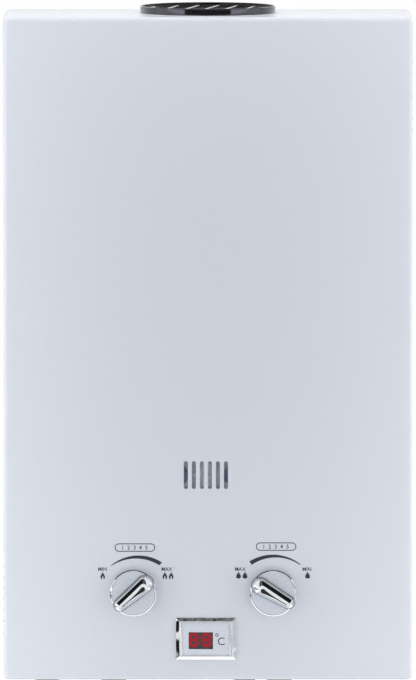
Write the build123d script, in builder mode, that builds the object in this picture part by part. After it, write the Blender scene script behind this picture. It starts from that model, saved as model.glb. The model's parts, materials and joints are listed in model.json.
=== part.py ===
from build123d import *
import os
from math import cos, radians, sin, sqrt

os.makedirs("parts", exist_ok=True)

# A wall-hung tankless gas water heater with natural draught, in millimetres.
# X runs to the right as seen from the front, Y back towards the wall and Z up.
# The origin is the centre of the four wall holes, on the wall plane, at half height.
# A depth is measured forward from the wall and a level up from the casing's bottom edge.

# Casing sheets
case_width = 330.0
case_height = 535.0
case_depth = 150.0
cover_sheet = 0.8
cover_edge_radius = 4.0
cover_bottom_return = 14.0
cover_rear_gap = 25.0
chassis_sheet = 1.0
chassis_flange = 40.0
chassis_bottom_flange = 20.0
plate_sheet = 1.0
plate_lip = 11.0
plate_bend = 2.0
plate_front_gap = 4.5
plate_vent_x = -18.0
plate_vent_depths = (44.0, 126.0)
plate_vent_count = 8
plate_vent_pitch = 8.0
plate_vent_length = 28.0
plate_vent_width = 3.4

# Clearances
sheet_gap = 0.3  # between the cover's flanges and the chassis
seat_gap = 0.3  # between a loose part at rest and its seat
slip = 0.05  # radial, of a turning, sliding or screwed fit
hole_play = 0.5  # radial, of a pipe or shank in a sheet hole
mould_gap = 0.1  # round a moulded insert in its frame

# Wall fixing
wall_hole_radius = 3.5
wall_hole_spacing_x = 260.0
wall_hole_spacing_z = 430.0
keyhole_radius = 5.0
keyhole_slot = 5.0
keyhole_rise = 12.0
keyhole_level = 500.0
bead_length = 300.0
bead_width = 12.0
bead_height = 2.0
bead_x = 95.0

# Openings in the cover
vent_count = 6
vent_pitch = 6.46
vent_slot_width = 3.3
vent_slot_height = 22.5
vent_x = -1.5
vent_level = 165.8
louvre_length = 44.0
louvre_width = 3.2
louvre_pitch = 9.0
louvre_count = 7
louvre_depth = 88.0
louvre_low_level = 62.0
louvre_high_level = 470.0

# Sheet-metal screws
screw_shank_radius = 1.9
screw_head_radius = 3.6
screw_head_height = 2.2
screw_length = 8.0
screw_slot_length = 4.3
screw_slot_width = 0.9
screw_slot_depth = 1.1
cover_screw_depth = 32.5
cover_screw_levels = (60.0, 267.5, 475.0)

# Flue collar, grille and draught hood
core_depth = 75.0
collar_radius = 55.0
collar_wall = 1.0
collar_rise = 6.0
collar_rim_radius = 1.5
collar_stop_width = 1.5
collar_stop_height = 1.2
collar_flange = 122.0
collar_flange_sheet = 1.0
collar_screw_offset = 48.0
flue_hole_gap = 4.0
grille_height = 4.0
grille_ring_width = 2.6
grille_drop = 3.5
grille_bar_width = 1.6
grille_bar_pitch = 15.8
grille_bar_count = 7
grille_bar_angle = 9.0
grille_wire_width = 1.2
grille_wire_height = 2.0
grille_wire_pitch = 7.0
grille_wire_count = 15
hood_sheet = 0.8
hood_height = 111.0
hood_skirt = 15.0
hood_neck = 8.0
hood_flange = 6.0
relief_width = 100.0
relief_height = 22.0
relief_rise = 24.0

# Heat exchanger
shell_side_gap = 40.0  # from the casing's outer side
shell_depth = 104.0
shell_sheet = 0.8
shell_corner = 12.0
shell_base = 172.0
shell_height = 223.0
fin_count = 29
fin_end_room = 13.0
fin_sheet = 0.6
fin_height = 52.0
fin_edge_gap = 1.0
tube_level = 365.0
tube_count = 5
tube_pitch = 20.0
tube_end_reach = 3.0
bend_radius = 9.5
pipe_radius = 6.0
pipe_wall = 0.8
bend_reach = 13.0
coil_start = 190.0
coil_pitch = 50.0
coil_front_rise = 15.0
coil_turns = 2
coil_corner = 12.0
riser_wall_gap = 19.0
feed_joint_level = 150.0
bracket_sheet = 1.5
bracket_width = 30.0
bracket_foot = 12.0
bracket_x = 90.0
bracket_levels = (174.0, 350.0)

# Burner
blade_count = 11
blade_side_room = 18.0
blade_width = 9.0
blade_length = 90.0
blade_top = 160.0
blade_head = 36.0
mixer_radius = 7.0
mixer_bore = 5.5
mixer_bore_length = 86.0
blade_sheet = 0.6
mixer_level = 120.0
port_count = 10
port_pitch = 8.0
port_width = 1.2
port_length = 6.0
port_sink = 1.5
frame_inset = 7.0
frame_depth = 98.0
frame_sheet = 1.2
frame_base = 108.0
frame_rail_width = 6.0
frame_rail_offset = 32.0
frame_mouth_radius = 8.0
frame_leg_width = 22.0
frame_leg_height = 30.0
frame_leg_level = 118.0
frame_leg_x = 70.0
rail_size = 14.0
rail_wall = 1.5
rail_end_inset = 12.0
rail_rear_depth = 126.0
rail_tab_width = 8.0
jet_radius = 3.2
jet_length = 5.0
jet_spigot_radius = 2.0
jet_spigot_length = 1.4
jet_bore = 0.5
foot_width = 24.0
foot_height = 10.0
gas_channel_radius = 3.5

# Valves, on one shaft axis that runs across the heater
valve_level = 70.5
valve_depth = 85.0
gas_valve_left = -85.0
gas_valve_right = -35.0
gas_valve_base = 45.0
gas_valve_top = 97.0
gas_valve_half_depth = 25.0
valve_edge = 3.0
chamber_radius = 12.0
inlet_seat_x = -68.0
disc_seat_x = -52.0
seat_wall = 2.0
inlet_seat_bore = 6.0
disc_seat_bore = 7.0
outlet_chamber_right = -40.0
outlet_x = -45.0
port_bore = 6.0
outlet_bore = 4.2
guide_boss_radius = 6.0
guide_boss_length = 6.0
gas_inlet_x = -76.0
disc_radius = 9.5
disc_thickness = 3.0
spring_radius = 8.0
spring_wire = 0.4
spring_turns = 4
rod_radius = 2.2
rod_travel = 4.0
rod_tail = 1.7
solenoid_flange = 38.0
solenoid_flange_sheet = 3.0
solenoid_spigot = 5.0
solenoid_radius = 12.5
solenoid_length = 26.0
plunger_radius = 3.0
plunger_disc_radius = 8.0
plunger_disc_thickness = 2.7
plunger_tail = 36.0
plunger_end_room = 4.0
diaphragm_offset = 27.8  # from the flow spindle
diaphragm_thickness = 1.0
diaphragm_radius = 28.0
housing_radius = 30.0
housing_cover_width = 14.0
housing_recess = 10.5
housing_recess_radius = 20.0
gland_length = 6.0
plate_radius = 17.0
plate_thickness = 2.2
plate_hub_radius = 5.0
plate_hub_length = 3.0
water_flange = 7.0
water_chamber = 5.0
water_body_gap = 8.0  # from the diaphragm's face
water_body_width = 37.0
water_body_half_depth = 23.0
water_body_base = 46.0
water_body_top = 94.0
water_passage_radius = 6.0
water_outlet_level = 85.0
cold_inlet_offset = 5.2  # from the flow spindle
hot_outlet_share = -130.0 / 330.0  # of the casing's width, from its middle
valve_screw_radius = 2.0
valve_screw_head = 3.4
valve_screw_head_height = 2.8
housing_screw_circle = 25.0
housing_screw_count = 6
housing_screw_turn = 30.0
solenoid_screw_offset = 14.5
solenoid_screw_grip = 6.0
screw_end_room = 1.0

# Pipe connections, half-inch parallel thread
thread_radius = 10.48
thread_groove = 9.7
thread_groove_length = 1.5
stub_drop = 22.0
fitting_bore = 7.0
hex_across_flats = 27.0
hex_height = 8.0
fitting_neck_radius = 9.0
nut_height = 6.0
hot_fitting_top = 22.0
hot_pipe_insert = 12.0
strainer_wall = 0.5
strainer_height = 26.0
strainer_slots = 8
strainer_slot_width = 1.4
strainer_rise = 3.0
strainer_flange = 2.0
strainer_inset = 1.0
strainer_band = 4.0
hot_bend_level = 50.0
hot_riser_wall_gap = 15.0
hot_riser_bend_level = 110.0
hot_corner = 18.0

# Drain plug
drain_offset = 5.0  # from the diaphragm's face
drain_boss_radius = 8.0
drain_boss_base = 12.0
drain_boss_top = 40.0
drain_bore = 5.1
drain_bore_depth = 16.0
drain_passage = 1.0
drain_passage_overlap = 2.0
drain_web_inset = 1.0
drain_web_drop = 4.0
drain_thread_length = 13.0
drain_flange_radius = 7.5
drain_head_radius = 8.5
drain_head_base = -14.0
drain_head_top = -3.0
drain_flutes = 12
drain_flute_radius = 1.0
seal_wire = 1.2

# Knobs
knob_radius = 19.0
knob_thickness = 5.0
knob_crown = 0.8
temperature_knob_x = -60.0
knob_spacing_share = 112.8 / 330.0  # of the casing's width
temperature_pointer_angle = -50.0  # from straight up, anticlockwise as seen
flow_pointer_angle = 60.0
pointer_length = 38.6
pointer_head_width = 13.5
pointer_tail_width = 10.2
pointer_height = 12.0
pointer_draft = 6.0  # degrees on every side
pointer_edge = 1.6
spindle_radius = 3.0
spindle_inset = 10.0
spindle_nose = 7.0
spindle_boss_radius = 7.0
spindle_boss_length = 12.0
cover_spindle_hole = 4.5

# Display
display_x = -1.6
display_level = 33.4
bezel_width = 48.1
bezel_height = 33.9
bezel_rise = 3.0
bezel_inner_width = 37.1
bezel_inner_height = 26.1
bezel_wall = 1.6
bezel_body_depth = 10.0
bezel_recess = 0.6
bezel_corner = 1.0
bezel_ridge = 0.6
bezel_ridge_corner = 0.8
faceplate_thickness = 1.5
faceplate_corner = 1.6
window_width = 19.7
window_height = 13.7
window_x = -4.0
window_drop = 1.4
window_flange = 1.2
window_flange_sheet = 1.0
board_width = 60.0
board_height = 32.0
board_sheet = 1.6
digit_block_width = 24.0
digit_block_height = 17.0
board_post_radius = 2.0
board_post_inset = (3.0, 4.0)
board_gap = 2.0

# Battery box with two large round cells
cell_radius = 17.1
cell_height = 61.5
cell_pitch = 36.0
cell_base = 7.0
cell_tip_radius = 4.5
cell_tip_height = 1.5
battery_wall_gap = 44.0
battery_depth = 90.0
box_wall = 1.8
box_play = 0.8
box_top_room = 2.4
box_flange = 2.6
door_sheet = 1.8
door_gap = 0.5
hinge_level = 2.6
hinge_radius = 1.3
hinge_barrel = 2.2
hinge_inset = 3.0
door_catch = 6.0
door_pad_radius = 5.0
contact_sheet = 0.5
contact_width = 12.0
terminal_rise = 4.0
tag_inset = 6.0
tag_slot = (4.0, 1.2)
tag_width = 3.0
contact_end_gap = 5.0
hinge_pin_end = 0.3
catch_sheet = 1.5
catch_height = 3.0
door_base = 0.1

# Igniter, electrodes and wiring
igniter_wall_gap = 4.0
igniter_width = 40.0
igniter_base = 80.0
igniter_top = 165.0
igniter_depth = 40.0
igniter_edge = 2.0
igniter_panel = (20.0, 28.0)
igniter_panel_offset = 5.0
igniter_panel_rise = 50.0
igniter_panel_sink = 1.0
electrode_level = 164.5
electrode_xs = (-10.0, 0.0, 30.0)
ceramic_radius = 3.2
ceramic_front = 140.0
ceramic_back = 114.0
electrode_radius = 0.8
electrode_front = 145.0
electrode_back = 92.0
clamp_half_width = 12.0
clamp_sheet = 1.2
clamp_height = 11.0
lead_radius = 1.2
lead_depth = 142.5
lead_wall_gap = 8.0
lead_levels = (151.1, 154.3, 157.5)
lead_bends = (4.0, 12.0)
board_lead_x = 20.0
board_lead_level = 45.0
board_lead_depth = 124.0
board_lead_offset = 24.2  # from the flow spindle
board_lead_bends = (5.0, 12.0, 12.0, 14.0)
side_lead_depth = 118.0
side_lead_level = 100.0
box_lead_level = 106.0
box_lead_bends = (10.0, 12.0)
switch_lead_inset = 4.0
switch_lead_level = 103.0
switch_lead_depth = 50.0
switch_lead_bends = (5.0, 12.0, 6.0)
igniter_lead_inset = 10.0
switch_width = 28.0
switch_depth = 10.0
switch_height = 16.0
switch_base = 78.0
switch_gap = 5.0  # from the diaphragm cover
button_offset = 12.0
button_radius = 1.2
button_guide = 4.0
cam_radius = 4.2
cam_slope = 0.3
cam_rear = 2.0
switch_arm_sheet = 1.5
switch_arm_inset = 2.0
thermostat_x = 60.0
thermostat_level = 320.0
thermostat_radius = 8.0
thermostat_height = 10.0
thermostat_flange = 12.8
probe_level = 200.0
probe_clip_half_height = 6.0
probe_clip_sheet = 1.5
probe_bulb_half_height = 10.0
probe_bulb_radius = 2.5
probe_bulb_gap = 3.5

# Values that follow from the driving dimensions
half_width = case_width / 2
shell_width = case_width - 2 * shell_side_gap
frame_width = shell_width - 2 * frame_inset
rail_half_length = shell_width / 2 - rail_end_inset
fin_pitch = (shell_width - 2 * fin_end_room) / (fin_count - 1)
blade_pitch = (frame_width - 2 * blade_side_room) / (blade_count - 1)
riser_x = half_width - riser_wall_gap
hot_riser_x = hot_riser_wall_gap - half_width
hot_outlet_x = hot_outlet_share * case_width
flow_knob_x = temperature_knob_x + knob_spacing_share * case_width
cold_inlet_x = flow_knob_x + cold_inlet_offset
diaphragm_face_x = flow_knob_x - diaphragm_offset
housing_left = diaphragm_face_x - housing_cover_width
water_body_left = diaphragm_face_x + water_body_gap
water_body_right = water_body_left + water_body_width
drain_x = diaphragm_face_x + drain_offset
switch_left = housing_left - switch_gap - switch_width
button_x = switch_left + button_offset
battery_x = half_width - battery_wall_gap
igniter_right = half_width - igniter_wall_gap
igniter_left = igniter_right - igniter_width
lead_side_x = half_width - lead_wall_gap
chassis_width = case_width - 2 * (cover_sheet + sheet_gap)
chassis_top = case_height - cover_sheet - sheet_gap
chassis_corner = cover_edge_radius - cover_sheet - sheet_gap
plate_width = chassis_width - 2 * (chassis_sheet + sheet_gap)
plate_top = chassis_sheet + plate_sheet
cover_front = case_depth - cover_sheet
hood_base = shell_base + shell_height
collar_base = hood_base + hood_height
collar_top = case_height + collar_rise
collar_bore = collar_radius - collar_wall
flue_hole_radius = collar_radius + flue_hole_gap
frame_top = shell_base - seat_gap
rail_front_depth = rail_rear_depth + rail_size
blade_front = core_depth + blade_length / 2
blade_back = core_depth - blade_length / 2
blade_bottom = mixer_level - mixer_radius
frame_front = core_depth + frame_depth / 2
frame_back = core_depth - frame_depth / 2
tube_depths = [core_depth + tube_pitch * (tube_count // 2 - i) for i in range(tube_count)]
tube_end_x = shell_width / 2 + tube_end_reach
bend_x = shell_width / 2 + bend_reach
shell_back = core_depth - shell_depth / 2
shell_front = core_depth + shell_depth / 2
body_front = valve_depth + gas_valve_half_depth
water_front = valve_depth + water_body_half_depth


def up(level):
    """Z of a level above the casing's bottom edge."""
    return level - case_height / 2


def facing(depth):
    """Plane parallel to the wall: extrusions run towards the front."""
    return Plane.XZ.offset(depth)


def flat(level):
    """Level plane: extrusions run up."""
    return Plane.XY.offset(up(level))


def across(x):
    """Plane square to X: extrusions run to the right, sketches read Y then Z."""
    return Plane.YZ.offset(x)


def rod_between(x_low, x_high, radius, depth=valve_depth, level=valve_level, mode=Mode.ADD):
    """Round bar or bore along X."""
    middle = ((x_low + x_high) / 2, -depth, up(level))
    with Locations(middle):
        Cylinder(radius, x_high - x_low, rotation=(0, 90, 0), mode=mode)


def post_between(low, high, radius, x, depth, mode=Mode.ADD):
    """Round bar or bore that stands upright between two levels."""
    with Locations((x, -depth, up((low + high) / 2))):
        Cylinder(radius, high - low, mode=mode)


def pin_between(near, far, radius, x, level, mode=Mode.ADD):
    """Round bar or bore along Y between two depths."""
    with Locations((x, -(near + far) / 2, up(level))):
        Cylinder(radius, abs(far - near), rotation=(90, 0, 0), mode=mode)


def block(x_low, x_high, near, far, low, high, mode=Mode.ADD):
    """Box between two X values, two depths and two levels."""
    middle = ((x_low + x_high) / 2, -(near + far) / 2, up((low + high) / 2))
    with Locations(middle):
        Box(x_high - x_low, far - near, high - low, mode=mode)


# Front cover: one folded sheet with a deep face, four flanges and a short bottom return
with BuildPart() as front_cover:
    with BuildSketch(facing(cover_rear_gap)):
        Rectangle(case_width, case_height)
    extrude(amount=case_depth - cover_rear_gap)
    cover_front_face = front_cover.faces().sort_by(Axis.Y)[0]
    fillet(front_cover.edges().filter_by(Axis.Y) + cover_front_face.edges(), cover_edge_radius)
    offset(amount=-cover_sheet, openings=front_cover.faces().sort_by(Axis.Y)[-1])
    with BuildSketch(facing(cover_rear_gap)):
        with Locations((0, up(0))):
            Rectangle(case_width, 2 * cover_edge_radius)
    extrude(amount=case_depth - cover_rear_gap - cover_bottom_return, mode=Mode.SUBTRACT)
    with BuildSketch(flat(case_height)):
        with Locations((0, -core_depth)):
            Circle(flue_hole_radius)
    extrude(amount=-2 * cover_sheet, mode=Mode.SUBTRACT)
    with BuildSketch(facing(case_depth)):
        with Locations((temperature_knob_x, up(valve_level)), (flow_knob_x, up(valve_level))):
            Circle(cover_spindle_hole)
        with Locations((display_x, up(display_level))):
            Rectangle(bezel_inner_width, bezel_inner_height)
        with Locations((vent_x, up(vent_level))):
            with GridLocations(vent_pitch, 0, vent_count, 1):
                SlotOverall(vent_slot_height, vent_slot_width, rotation=90)
    extrude(amount=-cover_sheet, mode=Mode.SUBTRACT)
    with BuildSketch(across(case_width / 2)):
        with Locations((-louvre_depth, up(louvre_low_level)), (-louvre_depth, up(louvre_high_level))):
            with GridLocations(0, louvre_pitch, 1, louvre_count):
                SlotOverall(louvre_length, louvre_width)
        with Locations(*[(-cover_screw_depth, up(level)) for level in cover_screw_levels]):
            Circle(screw_shank_radius + sheet_gap)
    extrude(amount=-case_width, mode=Mode.SUBTRACT)
front_cover.part.label = "front_cover"
export_step(front_cover.part, "parts/front_cover.step")

# Back chassis: a folded tray with two stiffening beads, four wall holes and a hanging keyhole
with BuildPart() as back_chassis:
    with BuildSketch(facing(0)):
        with Locations((0, up(chassis_top / 2))):
            Rectangle(chassis_width, chassis_top)
    extrude(amount=chassis_flange)
    fillet(back_chassis.edges().filter_by(Axis.Y), chassis_corner)
    offset(amount=-chassis_sheet, openings=back_chassis.faces().sort_by(Axis.Y)[0])
    block(
        -chassis_width / 2 + chassis_corner,
        chassis_width / 2 - chassis_corner,
        chassis_bottom_flange,
        chassis_flange,
        0,
        chassis_sheet,
        mode=Mode.SUBTRACT,
    )
    with BuildSketch(facing(chassis_sheet)):
        with Locations((-bead_x, 0), (bead_x, 0)):
            SlotOverall(bead_length, bead_width, rotation=90)
    extrude(amount=bead_height)
    with BuildSketch(facing(0)):
        with Locations((-bead_x, 0), (bead_x, 0)):
            SlotOverall(bead_length - 2 * chassis_sheet, bead_width - 2 * chassis_sheet, rotation=90)
    extrude(amount=bead_height, mode=Mode.SUBTRACT)
    with BuildSketch(facing(0)):
        with GridLocations(wall_hole_spacing_x, wall_hole_spacing_z, 2, 2):
            Circle(wall_hole_radius)
        with Locations((0, up(keyhole_level))):
            Circle(keyhole_radius)
            SlotCenterPoint((0, keyhole_rise / 2), (0, keyhole_rise), keyhole_slot)
    extrude(amount=chassis_sheet, mode=Mode.SUBTRACT)
    with BuildSketch(flat(chassis_top)):
        with Locations((0, -core_depth)):
            Circle(flue_hole_radius)
    extrude(amount=-2 * chassis_sheet, mode=Mode.SUBTRACT)
    with BuildSketch(across(chassis_width / 2)):
        with Locations(*[(-cover_screw_depth, up(level)) for level in cover_screw_levels]):
            Circle(screw_shank_radius + slip)
    extrude(amount=-chassis_width, mode=Mode.SUBTRACT)
back_chassis.part.label = "back_chassis"
export_step(back_chassis.part, "parts/back_chassis.step")

# Bottom plate: a tray that closes the casing below and carries the pipe fittings
battery_half_width = cell_pitch / 2 + cell_radius + box_play + box_wall
battery_half_depth = cell_radius + box_play / 2 + box_wall
with BuildPart() as bottom_plate:
    with BuildSketch(facing(chassis_sheet)):
        with Locations((0, up(chassis_sheet))):
            Rectangle(plate_width, plate_lip, align=(Align.CENTER, Align.MIN))
    plate_length = case_depth - plate_front_gap - chassis_sheet
    extrude(amount=plate_length)
    fillet(bottom_plate.edges().filter_by(Axis.Y).group_by(Axis.Z)[0], plate_bend)
    block(
        -plate_width / 2 + plate_sheet,
        plate_width / 2 - plate_sheet,
        0,
        case_depth - plate_front_gap - plate_sheet,
        plate_top,
        chassis_sheet + plate_lip,
        mode=Mode.SUBTRACT,
    )
    with BuildSketch(flat(plate_top)):
        with Locations((gas_inlet_x, -valve_depth), (cold_inlet_x, -valve_depth), (hot_outlet_x, -valve_depth)):
            Circle(thread_radius + hole_play)
        with Locations((drain_x, -valve_depth)):
            Circle(drain_head_radius + 2 * hole_play)
        with Locations((battery_x, -battery_depth)):
            Rectangle(2 * (battery_half_width + sheet_gap), 2 * (battery_half_depth + sheet_gap))
        with Locations(*[(plate_vent_x, -depth) for depth in plate_vent_depths]):
            with GridLocations(plate_vent_pitch, 0, plate_vent_count, 1):
                SlotOverall(plate_vent_length, plate_vent_width, rotation=90)
    extrude(amount=-plate_sheet, mode=Mode.SUBTRACT)
bottom_plate.part.label = "bottom_plate"
export_step(bottom_plate.part, "parts/bottom_plate.step")

# Sheet-metal screws: six hold the cover to the chassis and four the collar to the hood
cover_screw_spots = [
    Location((side * case_width / 2, -cover_screw_depth, up(level)), (0, side * 90, 0))
    for side in (-1, 1)
    for level in cover_screw_levels
]
collar_screw_spots = [
    Location((dx * collar_screw_offset, -core_depth + dy * collar_screw_offset, up(collar_base + collar_flange_sheet)))
    for dx in (-1, 1)
    for dy in (-1, 1)
]
with BuildPart() as sheet_screws:
    with Locations(*cover_screw_spots, *collar_screw_spots):
        Cylinder(screw_head_radius, screw_head_height, align=(Align.CENTER, Align.CENTER, Align.MIN))
        Cylinder(screw_shank_radius, screw_length, align=(Align.CENTER, Align.CENTER, Align.MAX))
        with Locations((0, 0, screw_head_height)):
            recess = (Align.CENTER, Align.CENTER, Align.MAX)
            Box(screw_slot_width, screw_slot_length, screw_slot_depth, align=recess, mode=Mode.SUBTRACT)
            Box(screw_slot_length, screw_slot_width, screw_slot_depth, align=recess, mode=Mode.SUBTRACT)
sheet_screws.part.label = "sheet_screws"
export_step(sheet_screws.part, "parts/sheet_screws.step")

# Flue collar: a short spigot with a rolled rim on a square flange
rim_level = collar_top - collar_rim_radius
rim_centre = collar_radius - collar_rim_radius
grille_stop = collar_top - grille_drop - grille_height - seat_gap
rim_join = sqrt(collar_rim_radius**2 - (collar_bore - rim_centre) ** 2)
with BuildPart() as flue_collar:
    with BuildSketch(Plane((0, -core_depth, 0), x_dir=(1, 0, 0), z_dir=(0, -1, 0))):
        with BuildLine():
            Line((collar_radius, up(collar_base)), (collar_radius, up(rim_level)))
            ThreePointArc(
                (collar_radius, up(rim_level)),
                (rim_centre, up(collar_top)),
                (rim_centre - collar_rim_radius, up(rim_level)),
            )
            ThreePointArc(
                (rim_centre - collar_rim_radius, up(rim_level)),
                (rim_centre, up(rim_level) - collar_rim_radius),
                (collar_bore, up(rim_level) - rim_join),
            )
            Polyline(
                (collar_bore, up(rim_level) - rim_join),
                (collar_bore, up(grille_stop)),
                (collar_bore - collar_stop_width, up(grille_stop)),
                (collar_bore - collar_stop_width, up(grille_stop - collar_stop_height)),
                (collar_bore, up(grille_stop - collar_stop_height)),
                (collar_bore, up(collar_base)),
            )
            Line((collar_bore, up(collar_base)), (collar_radius, up(collar_base)))
        make_face()
    revolve(axis=Axis((0, -core_depth, 0), (0, 0, 1)))
    with BuildSketch(flat(collar_base)):
        with Locations((0, -core_depth)):
            RectangleRounded(collar_flange, collar_flange, cover_edge_radius)
            Circle(collar_bore, mode=Mode.SUBTRACT)
            with GridLocations(2 * collar_screw_offset, 2 * collar_screw_offset, 2, 2):
                Circle(screw_shank_radius + slip, mode=Mode.SUBTRACT)
    extrude(amount=collar_flange_sheet)
flue_collar.part.label = "flue_collar"
export_step(flue_collar.part, "parts/flue_collar.step")

# Flue grille: a ring with slanting bars over finer cross wires, dropped into the collar
grille_radius = collar_bore - mould_gap
grille_top = collar_top - grille_drop
grille_base = grille_top - grille_height
with BuildPart() as flue_grille:
    with BuildSketch(flat(grille_base)):
        with Locations((0, -core_depth)):
            Circle(grille_radius)
            Circle(grille_radius - grille_ring_width, mode=Mode.SUBTRACT)
    extrude(amount=grille_height)
    with BuildSketch(flat(grille_base)):
        with Locations(Location((0, -core_depth, 0), (0, 0, -grille_bar_angle))):
            with GridLocations(grille_bar_pitch, 0, grille_bar_count, 1):
                Rectangle(grille_bar_width, 2 * grille_radius)
        with Locations((0, -core_depth)):
            Circle(grille_radius - grille_ring_width / 2, mode=Mode.INTERSECT)
    extrude(amount=grille_height)
    with BuildSketch(flat(grille_base)):
        with Locations((0, -core_depth)):
            with GridLocations(0, grille_wire_pitch, 1, grille_wire_count):
                Rectangle(2 * grille_radius, grille_wire_width)
            Circle(grille_radius - grille_ring_width / 2, mode=Mode.INTERSECT)
    extrude(amount=grille_wire_height)
flue_grille.part.label = "flue_grille"
export_step(flue_grille.part, "parts/flue_grille.step")

# Draught hood: from the exchanger's oblong mouth to the round collar, with a relief opening
neck_base = collar_base - hood_neck
with BuildPart() as draft_hood:
    with BuildSketch(flat(hood_base)):
        with Locations((0, -core_depth)):
            RectangleRounded(shell_width + 2 * hood_flange, shell_depth, shell_corner)
    extrude(amount=hood_sheet)
    for inset in (0, hood_sheet):
        cut = Mode.SUBTRACT if inset else Mode.ADD
        skirt_width = shell_width - 2 * inset
        skirt_depth = shell_depth - 2 * inset
        neck_width = collar_flange - 2 * inset
        with BuildSketch(flat(hood_base)):
            with Locations((0, -core_depth)):
                RectangleRounded(skirt_width, skirt_depth, shell_corner - inset)
        extrude(amount=hood_skirt, mode=cut)
        with BuildSketch(flat(hood_base + hood_skirt)):
            with Locations((0, -core_depth)):
                RectangleRounded(skirt_width, skirt_depth, shell_corner - inset)
        with BuildSketch(flat(neck_base)):
            with Locations((0, -core_depth)):
                RectangleRounded(neck_width, neck_width, cover_edge_radius - inset)
        loft(mode=cut)
        with BuildSketch(flat(neck_base)):
            with Locations((0, -core_depth)):
                RectangleRounded(neck_width, neck_width, cover_edge_radius - inset)
        extrude(amount=hood_neck - inset, mode=cut)
    with BuildSketch(flat(collar_base)):
        with Locations((0, -core_depth)):
            Circle(collar_bore)
            with GridLocations(2 * collar_screw_offset, 2 * collar_screw_offset, 2, 2):
                Circle(screw_shank_radius + slip)
    extrude(amount=-2 * hood_sheet, mode=Mode.SUBTRACT)
    with BuildSketch(facing(core_depth)):
        with Locations((0, up(hood_base + relief_rise))):
            SlotOverall(relief_width, relief_height)
    extrude(amount=case_depth - core_depth, mode=Mode.SUBTRACT)
draft_hood.part.label = "draft_hood"
export_step(draft_hood.part, "parts/draft_hood.step")

# Exchanger shell: the copper combustion chamber and fin frame
with BuildPart() as exchanger_shell:
    with BuildSketch(flat(shell_base)):
        with Locations((0, -core_depth)):
            RectangleRounded(shell_width, shell_depth, shell_corner)
    extrude(amount=shell_height)
    for lip_level in (shell_base, hood_base - shell_sheet):
        with BuildSketch(flat(lip_level)):
            with Locations((0, -core_depth)):
                RectangleRounded(shell_width + 2 * hood_flange, shell_depth, shell_corner)
        extrude(amount=shell_sheet)
    with BuildSketch(flat(shell_base)):
        with Locations((0, -core_depth)):
            RectangleRounded(shell_width - 2 * shell_sheet, shell_depth - 2 * shell_sheet, shell_corner - shell_sheet)
    extrude(amount=shell_height, mode=Mode.SUBTRACT)
    with BuildSketch(across(-shell_width)):
        with Locations(*[(-depth, up(tube_level)) for depth in tube_depths]):
            Circle(pipe_radius + slip)
    extrude(amount=2 * shell_width, mode=Mode.SUBTRACT)
exchanger_shell.part.label = "exchanger_shell"
export_step(exchanger_shell.part, "parts/exchanger_shell.step")

# Exchanger fins: thin copper plates threaded on the tubes
with BuildPart() as exchanger_fins:
    for i in range(fin_count):
        fin_x = (i - (fin_count - 1) / 2) * fin_pitch
        with BuildSketch(across(fin_x - fin_sheet / 2)):
            with Locations((-core_depth, up(tube_level))):
                Rectangle(shell_depth - 2 * (shell_sheet + fin_edge_gap), fin_height)
            with Locations(*[(-depth, up(tube_level)) for depth in tube_depths]):
                Circle(pipe_radius + slip, mode=Mode.SUBTRACT)
        extrude(amount=fin_sheet)
exchanger_fins.part.label = "exchanger_fins"
export_step(exchanger_fins.part, "parts/exchanger_fins.step")

# Exchanger tubes: one serpentine through the fins
tube_z = up(tube_level)
serpentine = [(tube_end_x, -tube_depths[0], tube_z)]
side = -1
for near, far in zip(tube_depths, tube_depths[1:]):
    serpentine += [(side * bend_x, -near, tube_z), (side * bend_x, -far, tube_z)]
    side = -side
serpentine.append((side * tube_end_x, -tube_depths[-1], tube_z))
with BuildPart() as exchanger_tubes:
    with BuildLine() as tube_route:
        FilletPolyline(*serpentine, radius=bend_radius)
    with BuildSketch(Plane(tube_route.line @ 0, z_dir=tube_route.line % 0)):
        Circle(pipe_radius)
        Circle(pipe_radius - pipe_wall, mode=Mode.SUBTRACT)
    sweep()
exchanger_tubes.part.label = "exchanger_tubes"
export_step(exchanger_tubes.part, "parts/exchanger_tubes.step")

# Wrap coil: the same pipe wound round the shell, from the feed riser up to the first tube
coil_half = shell_width / 2 + seat_gap + pipe_radius
coil_front = shell_front + seat_gap + pipe_radius
coil_back = shell_back - seat_gap - pipe_radius
coil_points = [
    (riser_x, -valve_depth, up(feed_joint_level)),
    (riser_x, -valve_depth, up(coil_start)),
]
for turn in range(coil_turns):
    low = coil_start + turn * coil_pitch
    coil_points += [
        (coil_half, -coil_front, up(low)),
        (-coil_half, -coil_front, up(low + coil_front_rise)),
        (-coil_half, -coil_back, up(low + coil_front_rise)),
        (coil_half, -coil_back, up(low + coil_pitch)),
    ]
coil_points += [
    (riser_x, -tube_depths[0], up(coil_start + coil_turns * coil_pitch)),
    (riser_x, -tube_depths[0], tube_z),
    (tube_end_x, -tube_depths[0], tube_z),
]
with BuildPart() as wrap_coil:
    with BuildLine() as coil_route:
        FilletPolyline(*coil_points, radius=coil_corner)
    with BuildSketch(Plane(coil_route.line @ 0, z_dir=coil_route.line % 0)):
        Circle(pipe_radius)
        Circle(pipe_radius - pipe_wall, mode=Mode.SUBTRACT)
    sweep()
wrap_coil.part.label = "wrap_coil"
export_step(wrap_coil.part, "parts/wrap_coil.step")

# Exchanger brackets: four folded straps between the shell and the back wall
bead_top = chassis_sheet + bead_height
with BuildPart() as exchanger_brackets:
    for x in (-bracket_x, bracket_x):
        for level in bracket_levels:
            left = x - bracket_width / 2
            right = x + bracket_width / 2
            block(left, right, bead_top, shell_back, level, level + bracket_sheet)
            block(left, right, bead_top, bead_top + bracket_sheet, level, level + bracket_foot)
            block(left, right, shell_back - bracket_sheet, shell_back, level, level + bracket_foot)
exchanger_brackets.part.label = "exchanger_brackets"
export_step(exchanger_brackets.part, "parts/exchanger_brackets.step")

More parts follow.
